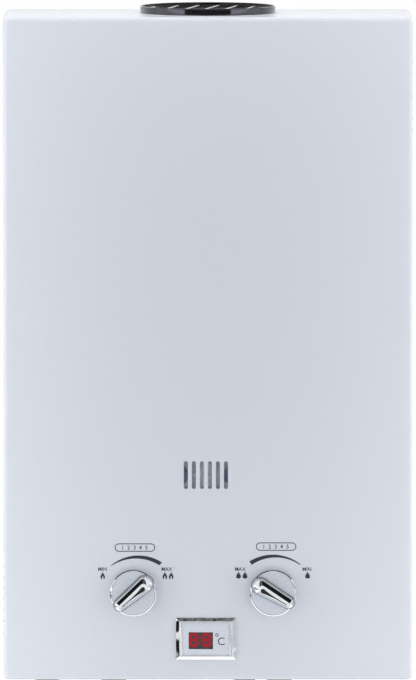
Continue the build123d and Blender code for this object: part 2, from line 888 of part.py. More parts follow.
# Burner blades: each has a mixing tube below and a slotted head above
with BuildPart() as burner_blades:
    with BuildSketch(facing(blade_back)):
        with Locations((0, up(blade_top - blade_head / 2))):
            with GridLocations(blade_pitch, 0, blade_count, 1):
                Rectangle(blade_width, blade_head)
        with Locations((0, up(mixer_level))):
            with GridLocations(blade_pitch, 0, blade_count, 1):
                Circle(mixer_radius)
    extrude(amount=blade_length)
    with BuildSketch(facing(blade_front)):
        with Locations((0, up(mixer_level))):
            with GridLocations(blade_pitch, 0, blade_count, 1):
                Circle(mixer_bore)
    extrude(amount=-mixer_bore_length, mode=Mode.SUBTRACT)
    with BuildSketch(facing(blade_back + blade_sheet)):
        with Locations((0, up(blade_top - blade_head / 2))):
            with GridLocations(blade_pitch, 0, blade_count, 1):
                Rectangle(blade_width - 2 * blade_sheet, blade_head - 2 * blade_sheet)
    extrude(amount=blade_length - 2 * blade_sheet, mode=Mode.SUBTRACT)
    with BuildSketch(flat(blade_top)):
        with Locations((0, -core_depth)):
            with GridLocations(blade_pitch, port_pitch, blade_count, port_count):
                Rectangle(port_length, port_width)
    extrude(amount=-port_sink, mode=Mode.SUBTRACT)
burner_blades.part.label = "burner_blades"
export_step(burner_blades.part, "parts/burner_blades.step")

# Burner frame: a sheet box round the blades, with two rails under them and two rear legs
with BuildPart() as burner_frame:
    with BuildSketch(flat(frame_base)):
        with Locations((0, -core_depth)):
            Rectangle(frame_width, frame_depth)
            Rectangle(frame_width - 2 * frame_sheet, frame_depth - 2 * frame_sheet, mode=Mode.SUBTRACT)
    extrude(amount=frame_top - frame_base)
    with BuildSketch(flat(frame_top - frame_sheet)):
        with Locations((0, -core_depth)):
            Rectangle(shell_width, shell_depth)
            Rectangle(frame_width - 2 * frame_sheet, frame_depth - 2 * frame_sheet, mode=Mode.SUBTRACT)
    extrude(amount=frame_sheet)
    for offset_y in (-frame_rail_offset, frame_rail_offset):
        middle = core_depth + offset_y
        block(
            -frame_width / 2 + frame_sheet,
            frame_width / 2 - frame_sheet,
            middle - frame_rail_width / 2,
            middle + frame_rail_width / 2,
            frame_base,
            blade_bottom - seat_gap,
        )
    for x in (-frame_leg_x, frame_leg_x):
        block(
            x - frame_leg_width / 2,
            x + frame_leg_width / 2,
            chassis_sheet,
            frame_back,
            frame_leg_level,
            frame_leg_level + frame_sheet,
        )
        block(
            x - frame_leg_width / 2,
            x + frame_leg_width / 2,
            chassis_sheet,
            chassis_sheet + frame_sheet,
            frame_leg_level,
            frame_leg_level + frame_leg_height,
        )
    with BuildSketch(facing(core_depth)):
        with Locations((0, up(mixer_level))):
            with GridLocations(blade_pitch, 0, blade_count, 1):
                Circle(frame_mouth_radius)
        with Locations(*[(x, up(electrode_level)) for x in electrode_xs]):
            Circle(ceramic_radius + hole_play)
    extrude(amount=frame_depth, mode=Mode.SUBTRACT)
burner_frame.part.label = "burner_frame"
export_step(burner_frame.part, "parts/burner_frame.step")

# Burner manifold: a square gas rail with a foot that sits on the gas valve
rail_low = mixer_level - rail_size / 2
foot_top = gas_valve_top + foot_height
foot_left = outlet_x - foot_width / 2
foot_right = outlet_x + foot_width / 2
with BuildPart() as burner_manifold:
    block(-rail_half_length, rail_half_length, rail_rear_depth, rail_front_depth, rail_low, rail_low + rail_size)
    block(foot_left, foot_right, rail_rear_depth, rail_front_depth, gas_valve_top, rail_low)
    block(foot_left, foot_right, valve_depth - foot_width / 2, rail_front_depth, gas_valve_top, foot_top)
    for sign in (-1, 1):
        tab_left = sign * (rail_half_length - rail_tab_width / 2) - rail_tab_width / 2
        tab_right = tab_left + rail_tab_width
        block(tab_left, tab_right, frame_front, rail_rear_depth, rail_low, rail_low + rail_size)
    block(
        -rail_half_length + rail_wall,
        rail_half_length - rail_wall,
        rail_rear_depth + rail_wall,
        rail_front_depth - rail_wall,
        rail_low + rail_wall,
        rail_low + rail_size - rail_wall,
        mode=Mode.SUBTRACT,
    )
    channel_level = gas_valve_top + foot_height / 2
    rail_middle = rail_rear_depth + rail_size / 2
    post_between(gas_valve_top, channel_level, port_bore, outlet_x, valve_depth, mode=Mode.SUBTRACT)
    pin_between(valve_depth, rail_middle, gas_channel_radius, outlet_x, channel_level, mode=Mode.SUBTRACT)
    post_between(channel_level, mixer_level, gas_channel_radius, outlet_x, rail_middle, mode=Mode.SUBTRACT)
    with BuildSketch(facing(rail_rear_depth)):
        with Locations((0, up(mixer_level))):
            with GridLocations(blade_pitch, 0, blade_count, 1):
                Circle(jet_spigot_radius + slip)
    extrude(amount=rail_wall, mode=Mode.SUBTRACT)
burner_manifold.part.label = "burner_manifold"
export_step(burner_manifold.part, "parts/burner_manifold.step")

# Burner jets: one brass jet for each blade
with BuildPart() as burner_jets:
    with BuildSketch(facing(rail_rear_depth - jet_length)):
        with Locations((0, up(mixer_level))):
            with GridLocations(blade_pitch, 0, blade_count, 1):
                RegularPolygon(jet_radius, 6)
    extrude(amount=jet_length)
    with BuildSketch(facing(rail_rear_depth)):
        with Locations((0, up(mixer_level))):
            with GridLocations(blade_pitch, 0, blade_count, 1):
                Circle(jet_spigot_radius)
    extrude(amount=jet_spigot_length)
    with BuildSketch(facing(rail_rear_depth - jet_length)):
        with Locations((0, up(mixer_level))):
            with GridLocations(blade_pitch, 0, blade_count, 1):
                Circle(jet_bore)
    extrude(amount=jet_length + jet_spigot_length, mode=Mode.SUBTRACT)
burner_jets.part.label = "burner_jets"
export_step(burner_jets.part, "parts/burner_jets.step")

# Gas valve body: three chambers in line, a guide for the rod and an arm for the switch
arm_near = valve_depth - switch_depth / 2 - seat_gap - switch_arm_sheet
arm_far = valve_depth - switch_depth / 2 - seat_gap
with BuildPart() as gas_valve_body:
    block(
        gas_valve_left,
        gas_valve_right,
        valve_depth - gas_valve_half_depth,
        body_front,
        gas_valve_base,
        gas_valve_top,
    )
    fillet(gas_valve_body.edges().filter_by(Axis.X) + gas_valve_body.edges().filter_by(Axis.Z), valve_edge)
    rod_between(gas_valve_right, gas_valve_right + guide_boss_length, guide_boss_radius)
    pin_between(body_front, body_front + spindle_boss_length, spindle_boss_radius, temperature_knob_x, valve_level)
    block(
        gas_valve_right - valve_edge,
        switch_left + switch_width,
        arm_near,
        arm_far,
        switch_base + switch_arm_inset,
        switch_base + switch_height - switch_arm_inset,
    )
    rod_between(gas_valve_left, inlet_seat_x, chamber_radius, mode=Mode.SUBTRACT)
    rod_between(inlet_seat_x, inlet_seat_x + seat_wall, inlet_seat_bore, mode=Mode.SUBTRACT)
    rod_between(inlet_seat_x + seat_wall, disc_seat_x, chamber_radius, mode=Mode.SUBTRACT)
    rod_between(disc_seat_x, disc_seat_x + seat_wall, disc_seat_bore, mode=Mode.SUBTRACT)
    rod_between(disc_seat_x + seat_wall, outlet_chamber_right, chamber_radius, mode=Mode.SUBTRACT)
    guide_end = gas_valve_right + guide_boss_length
    rod_between(outlet_chamber_right, guide_end, rod_radius + slip, mode=Mode.SUBTRACT)
    post_between(gas_valve_base, valve_level, port_bore, gas_inlet_x, valve_depth, mode=Mode.SUBTRACT)
    post_between(valve_level, gas_valve_top, outlet_bore, outlet_x, valve_depth, mode=Mode.SUBTRACT)
    pin_between(
        body_front - spindle_inset,
        body_front + spindle_boss_length,
        spindle_radius + slip,
        temperature_knob_x,
        valve_level,
        mode=Mode.SUBTRACT,
    )
    with BuildSketch(across(gas_valve_left)):
        with Locations((-valve_depth, up(valve_level))):
            with GridLocations(2 * solenoid_screw_offset, 2 * solenoid_screw_offset, 2, 2):
                Circle(valve_screw_radius + slip)
    extrude(amount=solenoid_screw_grip + screw_end_room, mode=Mode.SUBTRACT)
gas_valve_body.part.label = "gas_valve_body"
export_step(gas_valve_body.part, "parts/gas_valve_body.step")

# Gas solenoid: a coil can on a square flange that closes the gas valve's left end
solenoid_left = gas_valve_left - solenoid_flange_sheet - solenoid_length
spigot_right = gas_valve_left + solenoid_spigot
plunger_right = inlet_seat_x - seat_gap - plunger_disc_thickness
plunger_left = plunger_right - plunger_tail
with BuildPart() as gas_solenoid:
    with BuildSketch(across(gas_valve_left - solenoid_flange_sheet)):
        with Locations((-valve_depth, up(valve_level))):
            RectangleRounded(solenoid_flange, solenoid_flange, valve_edge)
            with GridLocations(2 * solenoid_screw_offset, 2 * solenoid_screw_offset, 2, 2):
                Circle(valve_screw_radius + slip, mode=Mode.SUBTRACT)
    extrude(amount=solenoid_flange_sheet)
    rod_between(solenoid_left, gas_valve_left, solenoid_radius)
    rod_between(gas_valve_left, spigot_right, chamber_radius - slip)
    rod_between(plunger_left - plunger_end_room, spigot_right, plunger_radius + slip, mode=Mode.SUBTRACT)
gas_solenoid.part.label = "gas_solenoid"
export_step(gas_solenoid.part, "parts/gas_solenoid.step")

# Solenoid plunger: a core with the disc that shuts the gas inlet chamber
with BuildPart() as solenoid_plunger:
    rod_between(plunger_left, plunger_right, plunger_radius)
    rod_between(plunger_right, plunger_right + plunger_disc_thickness, plunger_disc_radius)
solenoid_plunger.part.label = "solenoid_plunger"
export_step(solenoid_plunger.part, "parts/solenoid_plunger.step")

# Push rod: carries the gas disc at its left end and the cam collar for the switch
disc_right = disc_seat_x - seat_gap
disc_left = disc_right - disc_thickness
rod_left = disc_left - rod_tail
rod_right = diaphragm_face_x - seat_gap - plate_thickness
cam_flat_end = button_x - button_radius
cam_run = rod_travel + 2 * button_radius
with BuildPart() as push_rod:
    rod_between(rod_left, rod_right, rod_radius)
    with BuildSketch(Plane((0, -valve_depth, up(valve_level)), x_dir=(1, 0, 0), z_dir=(0, -1, 0))):
        with BuildLine():
            Polyline(
                (cam_flat_end - cam_rear, 0),
                (cam_flat_end - cam_rear, cam_radius),
                (cam_flat_end, cam_radius),
                (cam_flat_end + cam_run, cam_radius - cam_slope * cam_run),
                (cam_flat_end + cam_run, 0),
                (cam_flat_end - cam_rear, 0),
            )
        make_face()
    revolve(axis=Axis((0, -valve_depth, up(valve_level)), (1, 0, 0)))
push_rod.part.label = "push_rod"
export_step(push_rod.part, "parts/push_rod.step")

# Gas disc: rests against its seat and lets gas through when the rod pushes it off
with BuildPart() as gas_disc:
    rod_between(disc_left, disc_right, disc_radius)
    rod_between(disc_left, disc_right, rod_radius + slip, mode=Mode.SUBTRACT)
gas_disc.part.label = "gas_disc"
export_step(gas_disc.part, "parts/gas_disc.step")

# Gas disc spring: presses the disc to its seat
spring_left = inlet_seat_x + seat_wall + seat_gap + spring_wire
spring_right = disc_left - seat_gap - spring_wire
spring_length = spring_right - spring_left
with BuildPart() as gas_disc_spring:
    with BuildLine() as spring_line:
        Helix(
            pitch=spring_length / spring_turns,
            height=spring_length,
            radius=spring_radius,
            center=(spring_left, -valve_depth, up(valve_level)),
            direction=(1, 0, 0),
        )
    with BuildSketch(Plane(spring_line.line @ 0, z_dir=spring_line.line % 0)):
        Circle(spring_wire)
    sweep()
gas_disc_spring.part.label = "gas_disc_spring"
export_step(gas_disc_spring.part, "parts/gas_disc_spring.step")

# Diaphragm plate: a disc with a hub on the rod's right end
with BuildPart() as diaphragm_plate:
    rod_between(rod_right, rod_right + plate_thickness, plate_radius)
    rod_between(rod_right - plate_hub_length, rod_right, plate_hub_radius)
    rod_between(rod_right - plate_hub_length, rod_right, rod_radius + slip, mode=Mode.SUBTRACT)
diaphragm_plate.part.label = "diaphragm_plate"
export_step(diaphragm_plate.part, "parts/diaphragm_plate.step")

# Diaphragm: a rubber sheet clamped between the housing halves
with BuildPart() as diaphragm:
    rod_between(diaphragm_face_x, diaphragm_face_x + diaphragm_thickness, diaphragm_radius)
    with BuildSketch(across(diaphragm_face_x)):
        with Locations((-valve_depth, up(valve_level))):
            with PolarLocations(housing_screw_circle, housing_screw_count, start_angle=housing_screw_turn):
                Circle(valve_screw_radius + slip)
    extrude(amount=diaphragm_thickness, mode=Mode.SUBTRACT)
diaphragm.part.label = "diaphragm"
export_step(diaphragm.part, "parts/diaphragm.step")

# Diaphragm cover: the left half of the housing with the rod's gland
with BuildPart() as diaphragm_cover:
    rod_between(housing_left, diaphragm_face_x, housing_radius)
    rod_between(housing_left - gland_length, housing_left, guide_boss_radius)
    rod_between(
        diaphragm_face_x - housing_recess,
        diaphragm_face_x,
        housing_recess_radius,
        mode=Mode.SUBTRACT,
    )
    rod_between(housing_left - gland_length, diaphragm_face_x, rod_radius + slip, mode=Mode.SUBTRACT)
    with BuildSketch(across(housing_left)):
        with Locations((-valve_depth, up(valve_level))):
            with PolarLocations(housing_screw_circle, housing_screw_count, start_angle=housing_screw_turn):
                Circle(valve_screw_radius + slip)
    extrude(amount=diaphragm_face_x - housing_left, mode=Mode.SUBTRACT)
diaphragm_cover.part.label = "diaphragm_cover"
export_step(diaphragm_cover.part, "parts/diaphragm_cover.step")

# Water valve body: the right half of the housing, the flow valve and the drain boss
water_face_x = diaphragm_face_x + diaphragm_thickness
with BuildPart() as water_valve_body:
    block(
        water_body_left,
        water_body_right,
        valve_depth - water_body_half_depth,
        water_front,
        water_body_base,
        water_body_top,
    )
    fillet(water_valve_body.edges().filter_by(Axis.X) + water_valve_body.edges().filter_by(Axis.Z), valve_edge)
    rod_between(water_face_x, water_face_x + water_flange, housing_radius)
    pin_between(water_front, water_front + spindle_boss_length, spindle_boss_radius, flow_knob_x, valve_level)
    post_between(drain_boss_base, drain_boss_top, drain_boss_radius, drain_x, valve_depth)
    block(
        water_face_x + drain_web_inset,
        water_face_x + water_flange,
        valve_depth - drain_boss_radius / 2,
        valve_depth + drain_boss_radius / 2,
        drain_boss_top - drain_web_drop,
        water_body_base,
    )
    rod_between(water_face_x, water_face_x + water_chamber, housing_recess_radius, mode=Mode.SUBTRACT)
    rod_between(water_face_x, cold_inlet_x, water_passage_radius, mode=Mode.SUBTRACT)
    post_between(
        water_body_base,
        water_outlet_level,
        fitting_bore,
        cold_inlet_x,
        valve_depth,
        mode=Mode.SUBTRACT,
    )
    rod_between(
        cold_inlet_x,
        water_body_right,
        pipe_radius - pipe_wall,
        level=water_outlet_level,
        mode=Mode.SUBTRACT,
    )
    pin_between(
        water_front - spindle_inset,
        water_front + spindle_boss_length,
        spindle_radius + slip,
        flow_knob_x,
        valve_level,
        mode=Mode.SUBTRACT,
    )
    drain_bore_top = drain_boss_base + drain_bore_depth
    post_between(drain_boss_base, drain_bore_top, drain_bore, drain_x, valve_depth, mode=Mode.SUBTRACT)
    passage_top = valve_level - housing_recess_radius + drain_passage_overlap
    post_between(drain_bore_top, passage_top, drain_passage, drain_x, valve_depth, mode=Mode.SUBTRACT)
    with BuildSketch(across(water_face_x)):
        with Locations((-valve_depth, up(valve_level))):
            with PolarLocations(housing_screw_circle, housing_screw_count, start_angle=housing_screw_turn):
                Circle(valve_screw_radius + slip)
    extrude(amount=water_flange, mode=Mode.SUBTRACT)
water_valve_body.part.label = "water_valve_body"
export_step(water_valve_body.part, "parts/water_valve_body.step")

# Valve screws: six through the diaphragm housing and four through the solenoid's flange
housing_screw_spots = [
    Location(
        (
            housing_left,
            -valve_depth + housing_screw_circle * cos(radians(housing_screw_turn + i * 360 / housing_screw_count)),
            up(valve_level) + housing_screw_circle * sin(radians(housing_screw_turn + i * 360 / housing_screw_count)),
        ),
        (0, -90, 0),
    )
    for i in range(housing_screw_count)
]
solenoid_screw_spots = [
    Location(
        (
            gas_valve_left - solenoid_flange_sheet,
            -valve_depth + dy * solenoid_screw_offset,
            up(valve_level) + dz * solenoid_screw_offset,
        ),
        (0, -90, 0),
    )
    for dy in (-1, 1)
    for dz in (-1, 1)
]
with BuildPart() as valve_screws:
    for spots, grip in (
        (housing_screw_spots, water_face_x + water_flange - housing_left - screw_end_room),
        (solenoid_screw_spots, solenoid_flange_sheet + solenoid_screw_grip),
    ):
        with Locations(*spots):
            Cylinder(valve_screw_head, valve_screw_head_height, align=(Align.CENTER, Align.CENTER, Align.MIN))
            Cylinder(valve_screw_radius, grip, align=(Align.CENTER, Align.CENTER, Align.MAX))
valve_screws.part.label = "valve_screws"
export_step(valve_screws.part, "parts/valve_screws.step")


def pipe_fitting(x, top, bore):
    """Threaded stub below the plate, hexagon on the plate and a neck up to a level."""
    post_between(-stub_drop, plate_top, thread_radius, x, valve_depth)
    post_between(plate_top, top, fitting_neck_radius, x, valve_depth)
    hexagon_radius = hex_across_flats / sqrt(3)
    with BuildSketch(flat(plate_top)) as hexagon:
        with Locations((x, -valve_depth)):
            RegularPolygon(hexagon_radius, 6)
    extrude(hexagon.sketch, amount=hex_height)
    groove_base = chassis_sheet - nut_height - thread_groove_length
    with BuildSketch(flat(groove_base)) as groove:
        with Locations((x, -valve_depth)):
            Circle(thread_radius + hole_play)
            Circle(thread_groove, mode=Mode.SUBTRACT)
    extrude(groove.sketch, amount=thread_groove_length, mode=Mode.SUBTRACT)
    post_between(-stub_drop, top, bore, x, valve_depth, mode=Mode.SUBTRACT)


# Gas inlet fitting
with BuildPart() as gas_inlet_fitting:
    pipe_fitting(gas_inlet_x, gas_valve_base, fitting_bore)
gas_inlet_fitting.part.label = "gas_inlet_fitting"
export_step(gas_inlet_fitting.part, "parts/gas_inlet_fitting.step")

# Cold inlet fitting
with BuildPart() as cold_inlet_fitting:
    pipe_fitting(cold_inlet_x, water_body_base, fitting_bore)
cold_inlet_fitting.part.label = "cold_inlet_fitting"
export_step(cold_inlet_fitting.part, "parts/cold_inlet_fitting.step")

# Hot outlet fitting: the outlet pipe is soldered into its bore
with BuildPart() as hot_outlet_fitting:
    pipe_fitting(hot_outlet_x, hot_fitting_top, pipe_radius + slip)
hot_outlet_fitting.part.label = "hot_outlet_fitting"
export_step(hot_outlet_fitting.part, "parts/hot_outlet_fitting.step")

# Pipe locknuts: clamp the three fittings to the bottom plate from below
with BuildPart() as pipe_locknuts:
    with BuildSketch(flat(chassis_sheet - nut_height)):
        with Locations((gas_inlet_x, -valve_depth), (cold_inlet_x, -valve_depth), (hot_outlet_x, -valve_depth)):
            RegularPolygon(hex_across_flats / sqrt(3), 6)
            Circle(thread_radius + slip, mode=Mode.SUBTRACT)
    extrude(amount=nut_height)
pipe_locknuts.part.label = "pipe_locknuts"
export_step(pipe_locknuts.part, "parts/pipe_locknuts.step")

# Inlet strainer: a slotted cup in the cold inlet's bore
strainer_base = strainer_rise - stub_drop
strainer_radius = fitting_bore - slip
with BuildPart() as inlet_strainer:
    post_between(
        strainer_base,
        strainer_base + strainer_height,
        strainer_radius - strainer_inset,
        cold_inlet_x,
        valve_depth,
    )
    post_between(strainer_base, strainer_base + strainer_flange, strainer_radius, cold_inlet_x, valve_depth)
    post_between(
        strainer_base,
        strainer_base + strainer_height - strainer_wall,
        strainer_radius - strainer_inset - strainer_wall,
        cold_inlet_x,
        valve_depth,
        mode=Mode.SUBTRACT,
    )
    slot_middle = (cold_inlet_x, -valve_depth, up(strainer_base + strainer_height / 2))
    for i in range(strainer_slots // 2):
        with Locations(Location(slot_middle, (0, 0, i * 360 / strainer_slots))):
            Box(3 * fitting_bore, strainer_slot_width, strainer_height - 2 * strainer_band, mode=Mode.SUBTRACT)
inlet_strainer.part.label = "inlet_strainer"
export_step(inlet_strainer.part, "parts/inlet_strainer.step")

# Water feed pipe: from the water valve over the battery box to the riser
with BuildPart() as water_feed_pipe:
    with BuildLine() as feed_route:
        FilletPolyline(
            (water_body_right, -valve_depth, up(water_outlet_level)),
            (riser_x, -valve_depth, up(water_outlet_level)),
            (riser_x, -valve_depth, up(feed_joint_level)),
            radius=coil_corner,
        )
    with BuildSketch(Plane(feed_route.line @ 0, z_dir=feed_route.line % 0)):
        Circle(pipe_radius)
        Circle(pipe_radius - pipe_wall, mode=Mode.SUBTRACT)
    sweep()
water_feed_pipe.part.label = "water_feed_pipe"
export_step(water_feed_pipe.part, "parts/water_feed_pipe.step")

# Hot outlet pipe: from the last tube down the left side to the outlet fitting
with BuildPart() as hot_outlet_pipe:
    with BuildLine() as hot_route:
        FilletPolyline(
            (hot_outlet_x, -valve_depth, up(hot_fitting_top - hot_pipe_insert)),
            (hot_outlet_x, -valve_depth, up(hot_bend_level)),
            (hot_riser_x, -tube_depths[-1], up(hot_riser_bend_level)),
            (hot_riser_x, -tube_depths[-1], tube_z),
            (-tube_end_x, -tube_depths[-1], tube_z),
            radius=(hot_corner, hot_corner, coil_corner),
        )
    with BuildSketch(Plane(hot_route.line @ 0, z_dir=hot_route.line % 0)):
        Circle(pipe_radius)
        Circle(pipe_radius - pipe_wall, mode=Mode.SUBTRACT)
    sweep()
hot_outlet_pipe.part.label = "hot_outlet_pipe"
export_step(hot_outlet_pipe.part, "parts/hot_outlet_pipe.step")

# Drain seal: a ring that seats on the boss and rides down the plug's thread with it
seal_level = drain_boss_base - seat_gap - seal_wire
drain_shank_radius = drain_bore - slip
with BuildPart() as drain_seal:
    with Locations((drain_x, -valve_depth, up(seal_level))):
        Torus(drain_shank_radius + 3 * slip + seal_wire, seal_wire)
drain_seal.part.label = "drain_seal"
export_step(drain_seal.part, "parts/drain_seal.step")

# Drain plug: a fluted finger grip under the casing, a shoulder and a threaded shank
shoulder_top = seal_level - seal_wire - seat_gap
with BuildPart() as drain_plug:
    post_between(drain_head_base, drain_head_top, drain_head_radius, drain_x, valve_depth)
    post_between(drain_head_top, shoulder_top, drain_flange_radius, drain_x, valve_depth)
    post_between(shoulder_top, drain_boss_base + drain_thread_length, drain_shank_radius, drain_x, valve_depth)
    with BuildSketch(flat(drain_head_base)):
        with Locations((drain_x, -valve_depth)):
            with PolarLocations(drain_head_radius, drain_flutes):
                Circle(drain_flute_radius)
    extrude(amount=drain_head_top - drain_head_base, mode=Mode.SUBTRACT)
drain_plug.part.label = "drain_plug"
export_step(drain_plug.part, "parts/drain_plug.step")


def knob_disc(x):
    """Flat disc with a softened front edge and a through bore for its spindle."""
    knob_back = case_depth + seat_gap
    pin_between(knob_back, knob_back + knob_thickness, knob_radius, x, valve_level)


def pointer_plane(x, angle):
    """Plane on a knob's front with its Y along the pointer."""
    turn = radians(angle)
    centre = (x, -disc_front, up(valve_level))
    return Plane(centre, x_dir=(cos(turn), 0, sin(turn)), z_dir=(0, -1, 0))


def pointer_outline():
    """Teardrop with a wide round head and a narrower round tail."""
    head = pointer_head_width / 2
    tail = pointer_tail_width / 2
    head_y = pointer_length / 2 - head
    tail_y = tail - pointer_length / 2
    lean = (head - tail) / (head_y - tail_y)
    rise = sqrt(1 - lean**2)
    with BuildLine() as outline:
        head_left = (-head * rise, head_y - head * lean)
        head_right = (head * rise, head_y - head * lean)
        tail_left = (-tail * rise, tail_y - tail * lean)
        tail_right = (tail * rise, tail_y - tail * lean)
        ThreePointArc(head_right, (0, head_y + head), head_left)
        Line(head_left, tail_left)
        ThreePointArc(tail_left, (0, tail_y - tail), tail_right)
        Line(tail_right, head_right)
    return outline.edges()


disc_front = case_depth + seat_gap + knob_thickness
spindle_front = disc_front + spindle_nose

# Temperature knob
with BuildPart() as temperature_knob:
    knob_disc(temperature_knob_x)
    fillet(temperature_knob.faces().sort_by(Axis.Y)[0].edges(), knob_crown)
    pin_between(case_depth, disc_front, spindle_radius + slip, temperature_knob_x, valve_level, mode=Mode.SUBTRACT)
temperature_knob.part.label = "temperature_knob"
export_step(temperature_knob.part, "parts/temperature_knob.step")

# Flow knob
with BuildPart() as flow_knob:
    knob_disc(flow_knob_x)
    fillet(flow_knob.faces().sort_by(Axis.Y)[0].edges(), knob_crown)
    pin_between(case_depth, disc_front, spindle_radius + slip, flow_knob_x, valve_level, mode=Mode.SUBTRACT)
flow_knob.part.label = "flow_knob"
export_step(flow_knob.part, "parts/flow_knob.step")

# Temperature pointer: a chromed teardrop grip with drafted sides
with BuildPart() as temperature_pointer:
    with BuildSketch(pointer_plane(temperature_knob_x, temperature_pointer_angle)):
        make_face(pointer_outline())
    extrude(amount=pointer_height, taper=pointer_draft)
    fillet(temperature_pointer.faces().sort_by(Axis.Y)[0].edges(), pointer_edge)
    pin_between(disc_front, spindle_front, spindle_radius + slip, temperature_knob_x, valve_level, mode=Mode.SUBTRACT)
temperature_pointer.part.label = "temperature_pointer"
export_step(temperature_pointer.part, "parts/temperature_pointer.step")

# Flow pointer
with BuildPart() as flow_pointer:
    with BuildSketch(pointer_plane(flow_knob_x, flow_pointer_angle)):
        make_face(pointer_outline())
    extrude(amount=pointer_height, taper=pointer_draft)
    fillet(flow_pointer.faces().sort_by(Axis.Y)[0].edges(), pointer_edge)
    pin_between(disc_front, spindle_front, spindle_radius + slip, flow_knob_x, valve_level, mode=Mode.SUBTRACT)
flow_pointer.part.label = "flow_pointer"
export_step(flow_pointer.part, "parts/flow_pointer.step")

# Temperature spindle: turns the gas valve's throttle
with BuildPart() as temperature_spindle:
    spindle_back = body_front - spindle_inset + 2 * seat_gap
    pin_between(spindle_back, spindle_front - seat_gap, spindle_radius, temperature_knob_x, valve_level)
temperature_spindle.part.label = "temperature_spindle"
export_step(temperature_spindle.part, "parts/temperature_spindle.step")

# Flow spindle: turns the water valve's flow needle
with BuildPart() as flow_spindle:
    spindle_back = water_front - spindle_inset + 2 * seat_gap
    pin_between(spindle_back, spindle_front - seat_gap, spindle_radius, flow_knob_x, valve_level)
flow_spindle.part.label = "flow_spindle"
export_step(flow_spindle.part, "parts/flow_spindle.step")

# Display bezel: a chromed frame with four sloped sides and a body through the cover
bezel_front = case_depth + bezel_rise
ledge_depth = bezel_front - bezel_recess - faceplate_thickness
body_width = bezel_inner_width - 2 * mould_gap
body_height = bezel_inner_height - 2 * mould_gap
with BuildPart() as display_bezel:
    with BuildSketch(facing(case_depth)):
        with Locations((display_x, up(display_level))):
            RectangleRounded(bezel_width, bezel_height, bezel_corner)
    with BuildSketch(facing(bezel_front)):
        with Locations((display_x, up(display_level))):
            RectangleRounded(
                bezel_inner_width + 2 * bezel_ridge,
                bezel_inner_height + 2 * bezel_ridge,
                bezel_ridge_corner,
            )
    loft()
    with BuildSketch(facing(case_depth - bezel_body_depth)):
        with Locations((display_x, up(display_level))):
            Rectangle(body_width, body_height)
    extrude(amount=bezel_body_depth)
    with BuildSketch(facing(ledge_depth)):
        with Locations((display_x, up(display_level))):
            RectangleRounded(bezel_inner_width, bezel_inner_height, faceplate_corner)
    extrude(amount=case_depth, mode=Mode.SUBTRACT)
    with BuildSketch(facing(case_depth - bezel_body_depth)):
        with Locations((display_x, up(display_level))):
            Rectangle(body_width - 2 * bezel_wall, body_height - 2 * bezel_wall)
    extrude(amount=case_depth, mode=Mode.SUBTRACT)
display_bezel.part.label = "display_bezel"
export_step(display_bezel.part, "parts/display_bezel.step")

# Display faceplate
face_width = bezel_inner_width - 2 * mould_gap
face_height = bezel_inner_height - 2 * mould_gap
window_centre = (display_x + window_x, up(display_level - window_drop))
with BuildPart() as display_faceplate:
    with BuildSketch(facing(ledge_depth)):
        with Locations((display_x, up(display_level))):
            RectangleRounded(face_width, face_height, faceplate_corner - mould_gap)
        with Locations(window_centre):
            Rectangle(window_width, window_height, mode=Mode.SUBTRACT)
    extrude(amount=faceplate_thickness)
display_faceplate.part.label = "display_faceplate"
export_step(display_faceplate.part, "parts/display_faceplate.step")

# Display window: a red filter with a flange behind the faceplate
with BuildPart() as display_window:
    with BuildSketch(facing(ledge_depth)):
        with Locations(window_centre):
            Rectangle(window_width - 2 * mould_gap, window_height - 2 * mould_gap)
    extrude(amount=faceplate_thickness - mould_gap)
    with BuildSketch(facing(ledge_depth - window_flange_sheet)):
        with Locations(window_centre):
            Rectangle(window_width + 2 * window_flange, window_height + 2 * window_flange)
    extrude(amount=window_flange_sheet)
display_window.part.label = "display_window"
export_step(display_window.part, "parts/display_window.step")

# Display board: a circuit board behind the bezel with the two-digit block and four posts
board_front = case_depth - bezel_body_depth - board_gap
with BuildPart() as display_board:
    with BuildSketch(facing(board_front - board_sheet)):
        with Locations((display_x, up(display_level))):
            Rectangle(board_width, board_height)
    extrude(amount=board_sheet)
    with BuildSketch(facing(board_front)):
        with Locations(window_centre):
            Rectangle(digit_block_width, digit_block_height)
    extrude(amount=ledge_depth - window_flange_sheet - seat_gap - board_front)
    with BuildSketch(facing(board_front)):
        with Locations((display_x, up(display_level))):
            with GridLocations(board_width - 2 * board_post_inset[0], board_height - 2 * board_post_inset[1], 2, 2):
                Circle(board_post_radius)
    extrude(amount=cover_front - seat_gap - board_front)
display_board.part.label = "display_board"
export_step(display_board.part, "parts/display_board.step")

# Battery box: holds two cells upright, open below, flanged on the bottom plate
cell_top = cell_base + cell_height
box_inner_top = cell_top + cell_tip_height + box_top_room
tag_level = box_inner_top + box_wall + terminal_rise
box_left = battery_x - battery_half_width
box_right = battery_x + battery_half_width
box_near = battery_depth - battery_half_depth
box_far = battery_depth + battery_half_depth
hinge_depth = box_near + box_wall + hinge_inset
cell_xs = (battery_x - cell_pitch / 2, battery_x + cell_pitch / 2)
with BuildPart() as battery_box:
    block(box_left, box_right, box_near, box_far, 0, box_inner_top + box_wall)
    block(
        box_left - box_flange,
        box_right + box_flange,
        box_near - box_flange,
        box_far + box_flange,
        plate_top,
        plate_top + box_wall,
    )
    block(
        box_left + box_wall,
        box_right - box_wall,
        box_near + box_wall,
        box_far - box_wall,
        0,
        box_inner_top,
        mode=Mode.SUBTRACT,
    )
    rod_between(
        box_left + hinge_pin_end,
        box_right - hinge_pin_end,
        hinge_radius + slip,
        depth=hinge_depth,
        level=hinge_level,
        mode=Mode.SUBTRACT,
    )
    with BuildSketch(flat(box_inner_top)):
        with Locations(*[(x, tag_inset - box_far) for x in cell_xs]):
            Rectangle(*tag_slot)
    extrude(amount=box_wall, mode=Mode.SUBTRACT)
